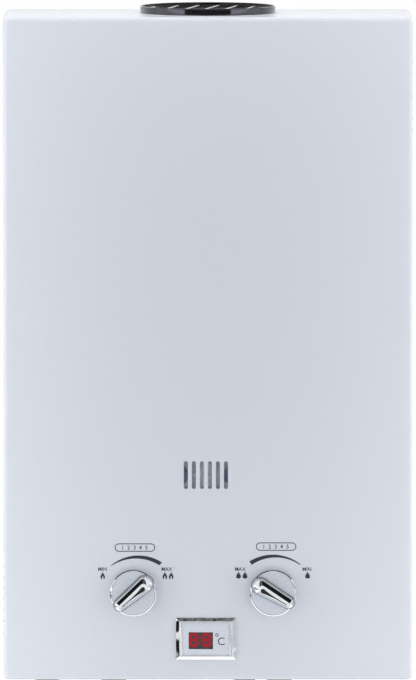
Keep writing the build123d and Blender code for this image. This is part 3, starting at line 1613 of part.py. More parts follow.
battery_box.part.label = "battery_box"
export_step(battery_box.part, "parts/battery_box.step")

# Battery cells
with BuildPart() as battery_cells:
    for x, tip_up in zip(cell_xs, (True, False)):
        post_between(cell_base, cell_top, cell_radius, x, battery_depth)
        if tip_up:
            post_between(cell_top, cell_top + cell_tip_height, cell_tip_radius, x, battery_depth)
battery_cells.part.label = "battery_cells"
export_step(battery_cells.part, "parts/battery_cells.step")

# Battery contacts: two plates under the box's roof with solder tags through it
with BuildPart() as battery_contacts:
    for x in cell_xs:
        block(
            x - contact_width / 2,
            x + contact_width / 2,
            battery_depth - contact_width / 2,
            box_far - contact_end_gap,
            box_inner_top - contact_sheet,
            box_inner_top,
        )
        tag_near = box_far - tag_inset - contact_sheet / 2
        tag_far = box_far - tag_inset + contact_sheet / 2
        block(x - tag_width / 2, x + tag_width / 2, tag_near, tag_far, box_inner_top, tag_level)
battery_contacts.part.label = "battery_contacts"
export_step(battery_contacts.part, "parts/battery_contacts.step")

# Battery door: a flap that closes the box from below and hangs on two stub pins
door_left = box_left + box_wall + door_gap
door_right = box_right - box_wall - door_gap
with BuildPart() as battery_door:
    block(
        door_left,
        door_right,
        hinge_depth,
        box_far - box_wall - door_gap,
        door_base,
        door_base + door_sheet,
    )
    rod_between(door_left, door_right, hinge_barrel, depth=hinge_depth, level=hinge_level)
    rod_between(
        box_left + 2 * hinge_pin_end + mould_gap,
        box_right - 2 * hinge_pin_end - mould_gap,
        hinge_radius,
        depth=hinge_depth,
        level=hinge_level,
    )
    block(
        battery_x - door_catch,
        battery_x + door_catch,
        box_far - box_wall - door_gap - catch_sheet,
        box_far - box_wall - door_gap,
        door_base + door_sheet,
        door_base + door_sheet + catch_height,
    )
    for x in cell_xs:
        post_between(door_base, cell_base - seat_gap, door_pad_radius, x, battery_depth)
battery_door.part.label = "battery_door"
export_step(battery_door.part, "parts/battery_door.step")

# Igniter box: the pulse igniter and controller, against the back wall
with BuildPart() as igniter_box:
    block(igniter_left, igniter_right, chassis_sheet, igniter_depth + chassis_sheet, igniter_base, igniter_top)
    fillet(igniter_box.edges().filter_by(Axis.Z) + igniter_box.faces().sort_by(Axis.Y)[0].edges(), igniter_edge)
    with BuildSketch(facing(igniter_depth + chassis_sheet)):
        panel_x = (igniter_left + igniter_right) / 2 - igniter_panel_offset
        with Locations((panel_x, up(igniter_base + igniter_panel_rise))):
            Rectangle(*igniter_panel)
    extrude(amount=-igniter_panel_sink, mode=Mode.SUBTRACT)
igniter_box.part.label = "igniter_box"
export_step(igniter_box.part, "parts/igniter_box.step")

# Electrode bracket: clamps the three ceramics on the burner frame's front wall
with BuildPart() as electrode_bracket:
    block(
        electrode_xs[0] - clamp_half_width,
        electrode_xs[-1] + clamp_half_width,
        frame_front,
        frame_front + clamp_sheet,
        electrode_level - clamp_height / 2,
        electrode_level + clamp_height / 2,
    )
    with BuildSketch(facing(frame_front)):
        with Locations(*[(x, up(electrode_level)) for x in electrode_xs]):
            Circle(ceramic_radius + slip)
    extrude(amount=clamp_sheet, mode=Mode.SUBTRACT)
electrode_bracket.part.label = "electrode_bracket"
export_step(electrode_bracket.part, "parts/electrode_bracket.step")

# Electrode ceramics
with BuildPart() as electrode_ceramics:
    with BuildSketch(facing(ceramic_back)):
        with Locations(*[(x, up(electrode_level)) for x in electrode_xs]):
            Circle(ceramic_radius)
            Circle(electrode_radius + slip, mode=Mode.SUBTRACT)
    extrude(amount=ceramic_front - ceramic_back)
electrode_ceramics.part.label = "electrode_ceramics"
export_step(electrode_ceramics.part, "parts/electrode_ceramics.step")

# Electrode rods: two spark over the middle blades and the third senses the flame
with BuildPart() as electrode_rods:
    with BuildSketch(facing(electrode_back)):
        with Locations(*[(x, up(electrode_level)) for x in electrode_xs]):
            Circle(electrode_radius)
    extrude(amount=electrode_front - electrode_back)
electrode_rods.part.label = "electrode_rods"
export_step(electrode_rods.part, "parts/electrode_rods.step")


def lead(points, radii):
    """Insulated wire along straight runs joined by arcs."""
    with BuildLine() as route:
        FilletPolyline(*points, radius=radii)
    with BuildSketch(Plane(route.line @ 0, z_dir=route.line % 0)) as section:
        Circle(lead_radius)
    sweep(section.sketch, path=route.line)


# Electrode leads: three high-voltage wires from the electrodes to the igniter box
igniter_face = igniter_depth + chassis_sheet
with BuildPart() as electrode_leads:
    for x, level in zip(electrode_xs, lead_levels):
        lead(
            [
                (x, -lead_depth, up(electrode_level) - electrode_radius),
                (x, -lead_depth, up(level)),
                (lead_side_x, -lead_depth, up(level)),
                (lead_side_x, -igniter_face, up(level)),
            ],
            lead_bends,
        )
electrode_leads.part.label = "electrode_leads"
export_step(electrode_leads.part, "parts/electrode_leads.step")

# Signal leads: from the display board, the battery box and the micro switch
switch_lead_x = switch_left + switch_width - 2 * switch_lead_inset
with BuildPart() as signal_leads:
    lead(
        [
            (board_lead_x, board_sheet - board_front, up(board_lead_level)),
            (board_lead_x, -board_lead_depth, up(board_lead_level)),
            (flow_knob_x + board_lead_offset, -board_lead_depth, up(board_lead_level)),
            (flow_knob_x + board_lead_offset, -board_lead_depth, up(side_lead_level)),
            (lead_side_x, -side_lead_depth, up(side_lead_level)),
            (lead_side_x, -igniter_face, up(side_lead_level)),
        ],
        board_lead_bends,
    )
    lead(
        [
            (cell_xs[0], tag_inset - box_far, up(tag_level)),
            (cell_xs[0], tag_inset - box_far, up(box_lead_level)),
            (lead_side_x, tag_inset - box_far, up(box_lead_level)),
            (lead_side_x, -igniter_face, up(box_lead_level)),
        ],
        box_lead_bends,
    )
    lead(
        [
            (switch_lead_x, -valve_depth, up(switch_base + switch_height)),
            (switch_lead_x, -valve_depth, up(switch_lead_level)),
            (switch_lead_x, -switch_lead_depth, up(switch_lead_level)),
            (igniter_left + igniter_lead_inset, -switch_lead_depth, up(switch_lead_level)),
            (igniter_left + igniter_lead_inset, -igniter_face, up(switch_lead_level)),
        ],
        switch_lead_bends,
    )
signal_leads.part.label = "signal_leads"
export_step(signal_leads.part, "parts/signal_leads.step")

# Micro switch
button_low = valve_level + cam_radius + seat_gap
with BuildPart() as micro_switch:
    block(
        switch_left,
        switch_left + switch_width,
        valve_depth - switch_depth / 2,
        valve_depth + switch_depth / 2,
        switch_base,
        switch_base + switch_height,
    )
    post_between(
        switch_base,
        switch_base + button_guide,
        button_radius + slip,
        button_x,
        valve_depth,
        mode=Mode.SUBTRACT,
    )
micro_switch.part.label = "micro_switch"
export_step(micro_switch.part, "parts/micro_switch.step")

# Switch button: held up by the rod's cam and released as the rod slides
with BuildPart() as switch_button:
    post_between(button_low, switch_base + button_guide - 2 * seat_gap, button_radius, button_x, valve_depth)
switch_button.part.label = "switch_button"
export_step(switch_button.part, "parts/switch_button.step")

# Overheat thermostat: a round switch on the shell's front
with BuildPart() as overheat_thermostat:
    pin_between(shell_front, shell_front + thermostat_height, thermostat_radius, thermostat_x, thermostat_level)
    block(
        thermostat_x - thermostat_flange,
        thermostat_x + thermostat_flange,
        shell_front,
        shell_front + shell_sheet,
        thermostat_level - thermostat_radius / 2,
        thermostat_level + thermostat_radius / 2,
    )
overheat_thermostat.part.label = "overheat_thermostat"
export_step(overheat_thermostat.part, "parts/overheat_thermostat.step")

# Temperature probe: a clip with a bulb on the hot outlet pipe
with BuildPart() as temperature_probe:
    post_between(
        probe_level - probe_clip_half_height,
        probe_level + probe_clip_half_height,
        pipe_radius + probe_clip_sheet,
        hot_riser_x,
        tube_depths[-1],
    )
    post_between(
        probe_level - probe_bulb_half_height,
        probe_level + probe_bulb_half_height,
        probe_bulb_radius,
        hot_riser_x,
        tube_depths[-1] - pipe_radius - probe_bulb_gap,
    )
    post_between(
        probe_level - probe_bulb_half_height,
        probe_level + probe_bulb_half_height,
        pipe_radius + slip,
        hot_riser_x,
        tube_depths[-1],
        mode=Mode.SUBTRACT,
    )
temperature_probe.part.label = "temperature_probe"
export_step(temperature_probe.part, "parts/temperature_probe.step")
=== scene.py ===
# %% [markdown]
# # A tankless gas water heater
# The heater was drawn in CAD and packed with its joints. Here Blender dresses it: every part gets a
# finish, and the parts that the eye lands on are modelled again with the detail of the real ones.
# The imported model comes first, because every place below is measured from it.

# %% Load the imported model
import json
from math import asin, cos, pi, radians, sin, tau

import bmesh
import bpy
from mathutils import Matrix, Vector


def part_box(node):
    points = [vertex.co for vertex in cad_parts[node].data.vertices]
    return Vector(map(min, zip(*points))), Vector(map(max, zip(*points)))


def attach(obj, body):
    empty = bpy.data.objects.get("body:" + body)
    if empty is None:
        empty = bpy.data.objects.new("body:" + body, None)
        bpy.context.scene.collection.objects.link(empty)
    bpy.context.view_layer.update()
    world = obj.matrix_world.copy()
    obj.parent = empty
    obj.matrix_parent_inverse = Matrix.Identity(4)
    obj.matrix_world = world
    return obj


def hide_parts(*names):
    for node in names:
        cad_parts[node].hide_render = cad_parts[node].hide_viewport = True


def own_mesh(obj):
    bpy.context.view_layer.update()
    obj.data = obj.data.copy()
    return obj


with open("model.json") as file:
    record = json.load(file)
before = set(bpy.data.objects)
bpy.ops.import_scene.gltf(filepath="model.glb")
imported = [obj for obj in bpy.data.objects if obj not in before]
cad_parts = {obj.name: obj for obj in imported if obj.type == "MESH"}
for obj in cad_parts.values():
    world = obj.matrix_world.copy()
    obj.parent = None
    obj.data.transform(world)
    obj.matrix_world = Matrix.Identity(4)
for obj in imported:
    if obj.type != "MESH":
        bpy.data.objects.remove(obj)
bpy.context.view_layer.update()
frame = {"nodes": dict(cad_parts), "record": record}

MM = 0.001
BOTTOM = -267.5  # height of the casing's bottom edge over the origin
COVER = 150.0  # depth of the front cover's face, out from the wall
SIDE = 165.0  # half the casing's width
FLUE = 75.0  # depth of the flue's middle, out from the wall
nodes = frame["nodes"]


def at(x, depth, level):
    """A place in metres, from millimetres rightwards, out from the wall and above the bottom edge."""
    return Vector((x, -depth, level + BOTTOM)) * MM


# %% [markdown]
# ## Shapes from rings
# A knob, a pointer, a screw and a frame are all a closed outline that changes its size as it rises.
# Blender's Spin, Bevel and Inset tools could make each one, but rings of points joined by faces make
# them all, and keep every edge where it is wanted.

# %% Rings, outlines and skins
FRONT = (Vector((1, 0, 0)), Vector((0, 0, 1)), Vector((0, -1, 0)))
ABOVE = (Vector((1, 0, 0)), Vector((0, 1, 0)), Vector((0, 0, 1)))


def turned_axes(axes, degrees):
    """Axes turned anticlockwise about their third one."""
    u, v, w = axes
    c, s = cos(radians(degrees)), sin(radians(degrees))
    return u * c + v * s, v * c - u * s, w


def ring(origin, axes, outline, height):
    """A flat outline in millimetres, placed at a height over an origin."""
    u, v, w = axes
    return [origin + (u * x + v * y + w * height) * MM for x, y in outline]


def skin(rings, loop=False):
    """Points and faces of the surface through some rings, closed by two end faces or into a loop."""
    n = len(rings[0])
    points = [point for one in rings for point in one]
    faces = []
    for k in range(len(rings) if loop else len(rings) - 1):
        near, far = k * n, (k + 1) % len(rings) * n
        faces += [(near + i, near + (i + 1) % n, far + (i + 1) % n, far + i) for i in range(n)]
    if not loop:
        faces += [tuple(range(n)), tuple(range(len(points) - n, len(points)))]
    return points, faces


def circle(radius, sides):
    """Outline of a circle."""
    return [(radius * cos(tau * i / sides), radius * sin(tau * i / sides)) for i in range(sides)]


def rounded(width, height, corner, steps=4):
    """Outline of a rectangle with rounded corners."""
    outline = []
    for k, (sx, sy) in enumerate(((1, 1), (-1, 1), (-1, -1), (1, -1))):
        for i in range(steps + 1):
            turn = (k + i / steps) * pi / 2
            x = sx * (width / 2 - corner) + corner * cos(turn)
            y = sy * (height / 2 - corner) + corner * sin(turn)
            outline.append((x, y))
    return outline


def turned(origin, axes, profile, sides, loop=False):
    """A body turned on a lathe, from pairs of radius and height."""
    return skin([ring(origin, axes, circle(radius, sides), height) for radius, height in profile], loop)


def prism(origin, axes, outline, low, high):
    """A flat outline with straight sides."""
    return skin([ring(origin, axes, outline, low), ring(origin, axes, outline, high)])


# %% From shapes to a finished piece
def joined(name, shapes):
    """One clean mesh of several shapes, with its faces pointing outwards."""
    points, faces = [], []
    for some_points, some_faces in shapes:
        faces += [tuple(i + len(points) for i in face) for face in some_faces]
        points += some_points
    mesh = bpy.data.meshes.new(name)
    mesh.from_pydata(points, [], faces)
    work = bmesh.new()
    work.from_mesh(mesh)
    bmesh.ops.remove_doubles(work, verts=work.verts, dist=1e-6)
    bmesh.ops.recalc_face_normals(work, faces=work.faces)
    work.to_mesh(mesh)
    work.free()
    return mesh


def piece(name, shape, body, slot, stands_for=(), smooth=32, material=None):
    """Links a mesh, or the shapes of one, as a finished piece. It rides on a body and may stand for CAD
    nodes, and it wears the finish of its slot if it is given no other."""
    mesh = joined(name, shape) if isinstance(shape, list) else shape
    mesh.materials.clear()
    mesh.materials.append(material or finishes[slot])
    mesh.shade_smooth()
    mesh.set_sharp_from_angle(angle=radians(smooth))
    thing = bpy.data.objects.new(name, mesh)
    bpy.context.scene.collection.objects.link(thing)
    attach(thing, body)
    if stands_for:
        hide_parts(*stands_for)
    print(name, "has", len(mesh.polygons), "faces")
    return thing


# %% [markdown]
# ## Finishes
# Every finish here is a Principled shader whose colour, gloss and relief follow one pattern at a real
# size: orange peel on enamel, spangle on zinc, scratches along rolled steel. One function adds a node
# with its settings and links, and one builds the common finish, so the numbers below say what differs.

# %% Nodes and colours
def linear(code):
    """An sRGB hex colour as the linear one that a shader wants."""
    parts = [int(code[i : i + 2], 16) / 255 for i in (1, 3, 5)]
    return (*[c / 12.92 if c <= 0.04045 else ((c + 0.055) / 1.055) ** 2.4 for c in parts], 1.0)


def add(tree, kind, values=None, links=None, **settings):
    """Adds a node with its socket values, the sockets that feed it and its settings."""
    node = tree.nodes.new(kind)
    for name, value in settings.items():
        setattr(node, name, value)
    for name, value in (values or {}).items():
        node.inputs[name].default_value = value
    for name, source in (links or {}).items():
        tree.links.new(source, node.inputs[name])
    return node


def blank(name):
    """An empty material and its node tree."""
    material = bpy.data.materials.new(name)
    material.use_nodes = True
    material.node_tree.nodes.clear()
    return material, material.node_tree


def placed(tree, grain, stretch=(1, 1, 1)):
    """Object coordinates in units of one grain of the pattern, given in millimetres."""
    spot = add(tree, "ShaderNodeTexCoord")
    scale = [1 / (grain * MM * s) for s in stretch]
    mapping = add(tree, "ShaderNodeMapping", {"Scale": scale}, {"Vector": spot.outputs["Object"]})
    return mapping.outputs["Vector"]


def surface(tree, pattern, colours, rough, relief, metallic, **more):
    """The shader, with its colour, gloss and relief led by one pattern from 0 to 1."""
    both = {6: linear(colours[0]), 7: linear(colours[1])}
    tint = add(tree, "ShaderNodeMix", both, {0: pattern}, data_type="RGBA")
    gloss = add(tree, "ShaderNodeMapRange", {"To Min": rough[0], "To Max": rough[1]}, {"Value": pattern})
    values = {"Metallic": metallic, **more}
    links = {"Base Color": tint.outputs[2], "Roughness": gloss.outputs["Result"]}
    if relief:
        bump = add(tree, "ShaderNodeBump", {"Distance": relief * MM}, {"Height": pattern})
        links["Normal"] = bump.outputs["Normal"]
    shader = add(tree, "ShaderNodeBsdfPrincipled", values, links)
    add(tree, "ShaderNodeOutputMaterial", None, {"Surface": shader.outputs["BSDF"]})
    return shader


def finish(name, colours, rough, grain, relief=0.0, stretch=(1, 1, 1), metallic=0.0, detail=3, **more):
    """A material led by noise whose grain is given in millimetres."""
    material, tree = blank(name)
    place = placed(tree, grain, stretch)
    noise = add(tree, "ShaderNodeTexNoise", {"Scale": 1.0, "Detail": detail}, {"Vector": place})
    spread = {"From Min": 0.35, "From Max": 0.65}
    pattern = add(tree, "ShaderNodeMapRange", spread, {"Value": noise.outputs["Fac"]})
    surface(tree, pattern.outputs["Result"], colours, rough, relief, metallic, **more)
    return material


# %% [markdown]
# ### The casing's enamel
# The cover is sheet steel with a baked polyester coat. Sprayed coats dry with orange peel, soft waves
# a few millimetres across, which break up reflections without dulling them. The tone drifts a little
# over the sheet as well, so the large face doesn't look like a flat fill.

# %% Enamels, inks and plastics
COAT = {"Coat Weight": 1.0, "Coat Roughness": 0.04}
finishes = {
    "white_enamel": finish("Baked_enamel", ("#DBE0E9", "#D9DEE7"), (0.2, 0.26), 2.0, 0.003, detail=1),
    # Glossy enamel on a spun collar: near black, and it mirrors what is beside it.
    "black_enamel": finish("Black_enamel", ("#0A090D", "#0F0E13"), (0.1, 0.16), 2.5, 0.004, detail=1, **COAT),
    "black_wire": finish("Blackened_wire", ("#26262C", "#3A3A42"), (0.25, 0.4), 1.5, metallic=0.6),
    "silver_face": finish("Satin_silver_lacquer", ("#DEE3EC", "#D4DAE5"), (0.24, 0.32), 0.5, metallic=0.2),
    "black_plastic": finish("Moulded_nylon", ("#17181A", "#1F2022"), (0.4, 0.52), 0.7, 0.01),
    "white_plastic": finish("Moulded_ABS", ("#D9DADB", "#E2E3E3"), (0.33, 0.42), 0.8, 0.008),
    "nitrile_rubber": finish("Nitrile_rubber", ("#1B1B1C", "#242425"), (0.55, 0.7), 0.6, 0.01),
    "silicone_red": finish("Silicone_sleeve_brown", ("#5A1E1A", "#6A2720"), (0.35, 0.5), 1.2),
    "silicone_black": finish("Silicone_sleeve_black", ("#1A1A1C", "#252527"), (0.35, 0.5), 1.2),
    "ceramic": finish("Glazed_alumina", ("#E9E6DF", "#DFDBD2"), (0.12, 0.2), 2.0, **{"Coat Weight": 0.5}),
    "red_filter": finish("Smoked_red_acrylic", ("#453A3E", "#3B3034"), (0.08, 0.14), 4.0),
}
ink = finish("Screen_printed_ink", ("#22242B", "#2B2D35"), (0.35, 0.45), 0.6)
print(len(finishes), "enamels, inks and plastics")

# %% [markdown]
# ### Metals
# A metal's colour is its reflection, so what tells brass from copper is the tint, and what tells cast
# from rolled is the direction of the roughness. Noise stretched along X reads as rolling marks, and
# round noise with relief reads as sand casting.

# %% Metals
finishes |= {
    "chrome": finish(
        "Bright_chrome", ("#E6E7EB", "#DFE1E6"), (0.03, 0.06), 5.0, 0.002, metallic=1.0, detail=1
    ),
    "zinc_screw": finish("Zinc_plate", ("#C6C9CE", "#B4B09E"), (0.22, 0.36), 1.5, metallic=1.0),
    "brass": finish("Cast_brass", ("#B8975C", "#A58548"), (0.3, 0.46), 0.9, 0.03, metallic=1.0),
    "cast_aluminium": finish(
        "Die_cast_aluminium", ("#A9ACB0", "#94979B"), (0.38, 0.55), 0.8, 0.03, metallic=0.9
    ),
    "stainless_steel": finish(
        "Rolled_stainless", ("#A7A7A6", "#8F8F8E"), (0.25, 0.42), 0.35, stretch=(40, 1, 1), metallic=1.0
    ),
    "aluminised_steel": finish(
        "Aluminised_sheet", ("#B4B7B9", "#A0A4A8"), (0.32, 0.48), 1.2, stretch=(12, 1, 1), metallic=0.95
    ),
    "spring_steel": finish("Spring_steel", ("#9C9EA0", "#85878A"), (0.2, 0.3), 0.8, metallic=1.0),
}

# %% [markdown]
# Hot-dip zinc freezes in spangles, flat crystals about a centimetre wide that each tilt the light their
# own way. A Voronoi texture is exactly that: one random value for each cell.


# %% Zinc spangle and heights
def height_in(tree):
    """The height in the object's own coordinates."""
    spot = add(tree, "ShaderNodeTexCoord")
    return add(tree, "ShaderNodeSeparateXYZ", None, {"Vector": spot.outputs["Object"]}).outputs["Z"]


def spangled(name, colours, rough, size):
    """Zinc coat whose crystals each have their own tone and gloss."""
    material, tree = blank(name)
    cells = add(tree, "ShaderNodeTexVoronoi", {"Scale": 1.0}, {"Vector": placed(tree, size)})
    value = add(tree, "ShaderNodeRGBToBW", None, {"Color": cells.outputs["Color"]})
    surface(tree, value.outputs["Val"], colours, rough, 0.0, 0.9)
    return material


finishes["galvanised_steel"] = spangled("Hot_dip_zinc", ("#9FA4A9", "#BDC1C5"), (0.3, 0.5), 11)

# %% [markdown]
# Copper that has been near flames turns brown and plum from the bottom up, where the fire licks it, and
# keeps its own colour higher up. The height in the object's own coordinates leads that change.


# %% Heat-tinted copper
def tinted_copper(name, clean, burnt, low, high):
    """Copper with a heat tint that fades between two levels of the heater."""
    material, tree = blank(name)
    cloud = add(tree, "ShaderNodeTexNoise", {"Scale": 1.0, "Detail": 4.0}, {"Vector": placed(tree, 14)})
    span = {"From Min": (low + BOTTOM) * MM, "From Max": (high + BOTTOM) * MM}
    rise = add(tree, "ShaderNodeMapRange", span, {"Value": height_in(tree)})
    both = {0: rise.outputs["Result"], 1: cloud.outputs["Fac"]}
    mixed = add(tree, "ShaderNodeMath", None, both, operation="ADD")
    reach = {"From Min": 0.35, "From Max": 1.4}
    pattern = add(tree, "ShaderNodeMapRange", reach, {"Value": mixed.outputs[0]})
    surface(tree, pattern.outputs["Result"], (burnt, clean), (0.42, 0.24), 0.0, 1.0)
    return material


finishes["copper"] = tinted_copper("Heat_tinted_copper", "#C4825F", "#6B4640", 172, 360)

# %% [markdown]
# The circuit board has a green mask with finer tracks under it, and the cells have a printed jacket with
# a metal band at the top. A brick pattern draws the tracks, and a step along the height the band.


# %% Board and cells
def banded(name, below, over, level, rough):
    """A jacket that changes colour at one level."""
    material, tree = blank(name)
    edge = (level + BOTTOM) * MM
    span = {"From Min": edge - 0.2 * MM, "From Max": edge + 0.2 * MM}
    step = add(tree, "ShaderNodeMapRange", span, {"Value": height_in(tree)})
    surface(tree, step.outputs["Result"], (below, over), rough, 0.0, 0.4)
    return material


def tracked(name, mask, track):
    """A solder mask over tracks that run in short steps."""
    material, tree = blank(name)
    place = placed(tree, 2.5, (4, 1, 1))
    black, white = (0, 0, 0, 1), (1, 1, 1, 1)
    values = {"Scale": 1.0, "Mortar Size": 0.12, "Mortar": white, "Color1": black, "Color2": black}
    bricks = add(tree, "ShaderNodeTexBrick", values, {"Vector": place})
    surface(tree, bricks.outputs["Fac"], (mask, track), (0.3, 0.22), 0.0, 0.0)
    return material


finishes["cell_jacket"] = banded("Printed_cell_jacket", "#202327", "#B98A4A", 52, (0.3, 0.25))
finishes["board_green"] = tracked("Solder_mask", "#1B4A2C", "#2F6B41")

for entry in frame["record"]["subparts"]:
    mesh = nodes[entry["node"]].data
    mesh.materials.clear()
    mesh.materials.append(finishes[entry["material_slot"]])
print("finishes on", len(nodes), "CAD nodes")

# %% [markdown]
# ## Knobs
# Each knob is a satin disc in a chromed ring, with a chromed grip over it. The ring has a bevelled rim and
# a fine groove inside it. Both slope outwards, so along the top they mirror the dark overhead as the two
# thin arcs of the photo. A lathe profile makes each part.

# %% Knob discs
TEMPERATURE_X, FLOW_X, KNOB_LEVEL = -60.0, 52.8, 70.5
DISC_DEPTH, GRIP_DEPTH = COVER + 0.3, COVER + 5.3
disc_profile = [(0, 0), (17.2, 0), (17.2, 3.9), (16.9, 4.25), (14, 4.45), (8, 4.65), (0, 4.7)]
ring_profile = [
    (17.1, 0), (18.5, 0), (18.9, 0.2), (19, 0.6), (19, 3.0), (18.9, 3.2), (18.0, 3.9), (17.9, 3.95),
    (17.35, 4.0), (17.25, 3.6), (16.45, 4.3), (16.35, 4.25), (17.0, 3.3),
]
for name, body, x in (("temperature", "temperature_dial", TEMPERATURE_X), ("flow", "flow_dial", FLOW_X)):
    spot = at(x, DISC_DEPTH, KNOB_LEVEL)
    disc = [turned(spot, FRONT, disc_profile, 128)]
    piece(name + "_disc", disc, body, "silver_face", [name + "_knob"], 40)
    piece(name + "_ring", [turned(spot, FRONT, ring_profile, 160, loop=True)], body, "chrome", (), 30)

# %% [markdown]
# The grip is a teardrop, the hull of a wide round head and a narrower tail. When both radii shrink by
# the same amount the straight sides stay parallel, so each ring up the grip is the same outline with a
# larger inset. The wall stands nearly upright and mirrors the disc. Over it a slope of less than 45
# degrees mirrors the dark overhead, which draws the black band of the photo: a steeper one would mirror
# the casing. The flat crown lies nearer to the lower side, mirrors the white in front and holds a black
# teardrop. It is a pointer mark that is also painted reflection: its black stands for the dark that a
# hollow crown would mirror. A thin black sheet under the grip is painted shade, which draws the grip's
# shadow line on the disc.

# %% Pointers
HEAD, TAIL, LENGTH = 6.75, 5.1, 38.6
# Height, inset, shift towards the lower side, and how far the head end draws back.
pointer_rings = [
    (0.3, 0.05, 0, 0), (0.7, 0, 0, 0), (1.0, 0.15, 0, 0), (1.4, 0.5, 0, 0), (2.0, 0.6, 0, 0.1),
    (9.4, 1.2, 0, 0.5), (9.6, 1.6, 0, 0.6), (11.3, 3.4, 0.7, 2.3), (11.7, 3.7, 0.85, 2.6),
]


def teardrop(head, tail, length, inset=0.0, shift=0.0, back=0.0, steps=26):
    """Outline of two circles wrapped together, with the head up, shrunk by an inset."""
    head_y, tail_y = length / 2 - head - back, tail - length / 2
    lean = asin((head - tail) / (head_y - tail_y))
    outline = []
    ends = ((head_y, head, -lean, pi + lean), (tail_y, tail, pi + lean, tau - lean))
    for middle, radius, start, end in ends:
        for i in range(steps + 1):
            turn = start + (end - start) * i / steps
            outline.append((shift + (radius - inset) * cos(turn), middle + (radius - inset) * sin(turn)))
    return outline


def dot_and_tail_outline(top=10.6, length=24.0, radius=1.9, tip=0.35, dot=0.08, steps=20):
    """Outline of a round dot that runs out into a long thin tail."""
    right = []
    for i in range(steps + 1):
        t = (i / steps) ** 2
        if t < dot:
            half = radius * (1 - (1 - t / dot) ** 2) ** 0.5
        else:
            half = tip + (radius - tip) * ((1 - t) / (1 - dot)) ** 3
        right.append((half, top - length * t))
    return right + [(-x, y) for x, y in right[:0:-1]]


# Painted reflection: flat black paint for the dark that a hollow crown would mirror.
finishes["mark_paint"] = finish("Black_reflection_paint", ("#060607", "#0A0A0C"), (0.45, 0.6), 0.5)
for name, body, x, angle, lower in (
    ("temperature", "temperature_dial", TEMPERATURE_X, -50, 1),
    ("flow", "flow_dial", FLOW_X, 60, -1),
):
    axes = turned_axes(FRONT, angle)
    middle = at(x, GRIP_DEPTH, KNOB_LEVEL)
    rings = [
        ring(middle, axes, teardrop(HEAD, TAIL, LENGTH, inset, lower * shift, back), height)
        for height, inset, shift, back in pointer_rings
    ]
    piece(name + "_grip", [skin(rings)], body, "chrome", [name + "_pointer"], 24)
    # Painted shade: a thin black sheet just wider than the grip draws the grip's shadow line on the disc.
    outline = teardrop(HEAD + 0.4, TAIL + 0.4, LENGTH + 0.8)
    piece(name + "_foot", [prism(middle, axes, outline, 0, 0.3)], body, "black_plastic")
    # The black teardrop on the crown: a pointer mark and a painted reflection of the dark overhead.
    mark = [(px + lower * 1.65, py) for px, py in dot_and_tail_outline()]
    black_teardrop = [prism(middle, axes, mark, 11.5, 11.8)]
    piece(name + "_mark", black_teardrop, body, "black_plastic", material=finishes["mark_paint"])

# %% [markdown]
# ## Display
# The bezel is a chromed plastic frame with four sloped sides, like a picture frame. Its mitres show as
# bright lines because the corners are slightly rounded. The section is one closed loop of rounded
# rectangles, from the body behind the cover, over the slope and down to the ledge of the faceplate.

# %% Bezel
DISPLAY_X, DISPLAY_LEVEL = -1.6, 33.4
bezel_section = [
    (36.9, 25.9, 0.3, -10), (36.9, 25.9, 0.3, 0), (47.7, 33.5, 0.4, 0), (48.1, 33.9, 0.5, 0.2),
    (48.0, 33.8, 0.5, 0.6), (43.4, 29.2, 0.35, 2.6), (42.9, 28.8, 0.35, 2.85), (42.0, 28.3, 0.4, 2.97),
    (38.6, 27.1, 0.8, 3.0), (37.7, 26.6, 1.3, 2.85), (37.2, 26.2, 1.5, 2.5), (37.1, 26.1, 1.5, 0.9),
    (33.7, 22.7, 0.3, 0.9), (33.7, 22.7, 0.3, -10),
]
display_middle = at(DISPLAY_X, COVER, DISPLAY_LEVEL)
rings = [ring(display_middle, FRONT, rounded(w, h, corner), height) for w, h, corner, height in bezel_section]
piece("display_frame", [skin(rings, loop=True)], "casing", "chrome", ["display_bezel"], 28)

# %% [markdown]
# Light-emitting digits are seven bars behind the filter. Each bar is a hexagon with pointed ends, so
# neighbours meet in a mitre. They glow, so their shader emits its colour and doesn't depend on lamps.


# %% Digits
def glowing(name, colour, strength):
    """A lit segment, a little uneven as light spreads in its resin."""
    material, tree = blank(name)
    cloud = add(tree, "ShaderNodeTexNoise", {"Scale": 1.0, "Detail": 1.0}, {"Vector": placed(tree, 2.5)})
    dull = {"Specular IOR Level": 0.1}
    shader = surface(tree, cloud.outputs["Fac"], ("#340A10", "#26080C"), (0.3, 0.4), 0.0, 0.0, **dull)
    shader.inputs["Emission Color"].default_value = linear(colour)
    shader.inputs["Emission Strength"].default_value = strength
    return material


def bar(x, y, length, width, upright):
    """Outline of one pointed bar round a middle."""
    a, b = length / 2, width / 2
    outline = [(-a, 0), (b - a, -b), (a - b, -b), (a, 0), (a - b, b), (b - a, b)]
    return [(x - v, y + u) if upright else (x + u, y + v) for u, v in outline]


DIGIT_WIDTH, DIGIT_HEIGHT, DIGIT_LEVEL, BAR = 5.6, 9.4, 32.6, 2.0
segments = []
for x in (-11.4, -0.9):
    middle = at(x, COVER + 2.31, DIGIT_LEVEL)
    for y in (-DIGIT_HEIGHT / 2, 0, DIGIT_HEIGHT / 2):
        segments.append(prism(middle, FRONT, bar(0, y, DIGIT_WIDTH - 0.3, BAR, False), 0, 0.06))
    for side in (-DIGIT_WIDTH / 2, DIGIT_WIDTH / 2):
        for y in (-DIGIT_HEIGHT / 4, DIGIT_HEIGHT / 4):
            segments.append(prism(middle, FRONT, bar(side, y, DIGIT_HEIGHT / 2 - 0.3, BAR, True), 0, 0.06))
lit = glowing("Lit_segment", "#C0182C", 0.75)
piece("display_digits", segments, "casing", "red_filter", material=lit)

# %% [markdown]
# ## Printing
# The dial marks are screen printed on the enamel, a film far thinner than paper. A print is made as a
# very thin prism that starts just under the surface and ends just over it, so it can't flicker, and it
# rides on the casing. Words come from Blender's text curves, turned into a mesh and then placed.


# %% Words and outlines
UNDER, OVER = -0.01, 0.05  # a film starts under the surface and ends over it, in millimetres


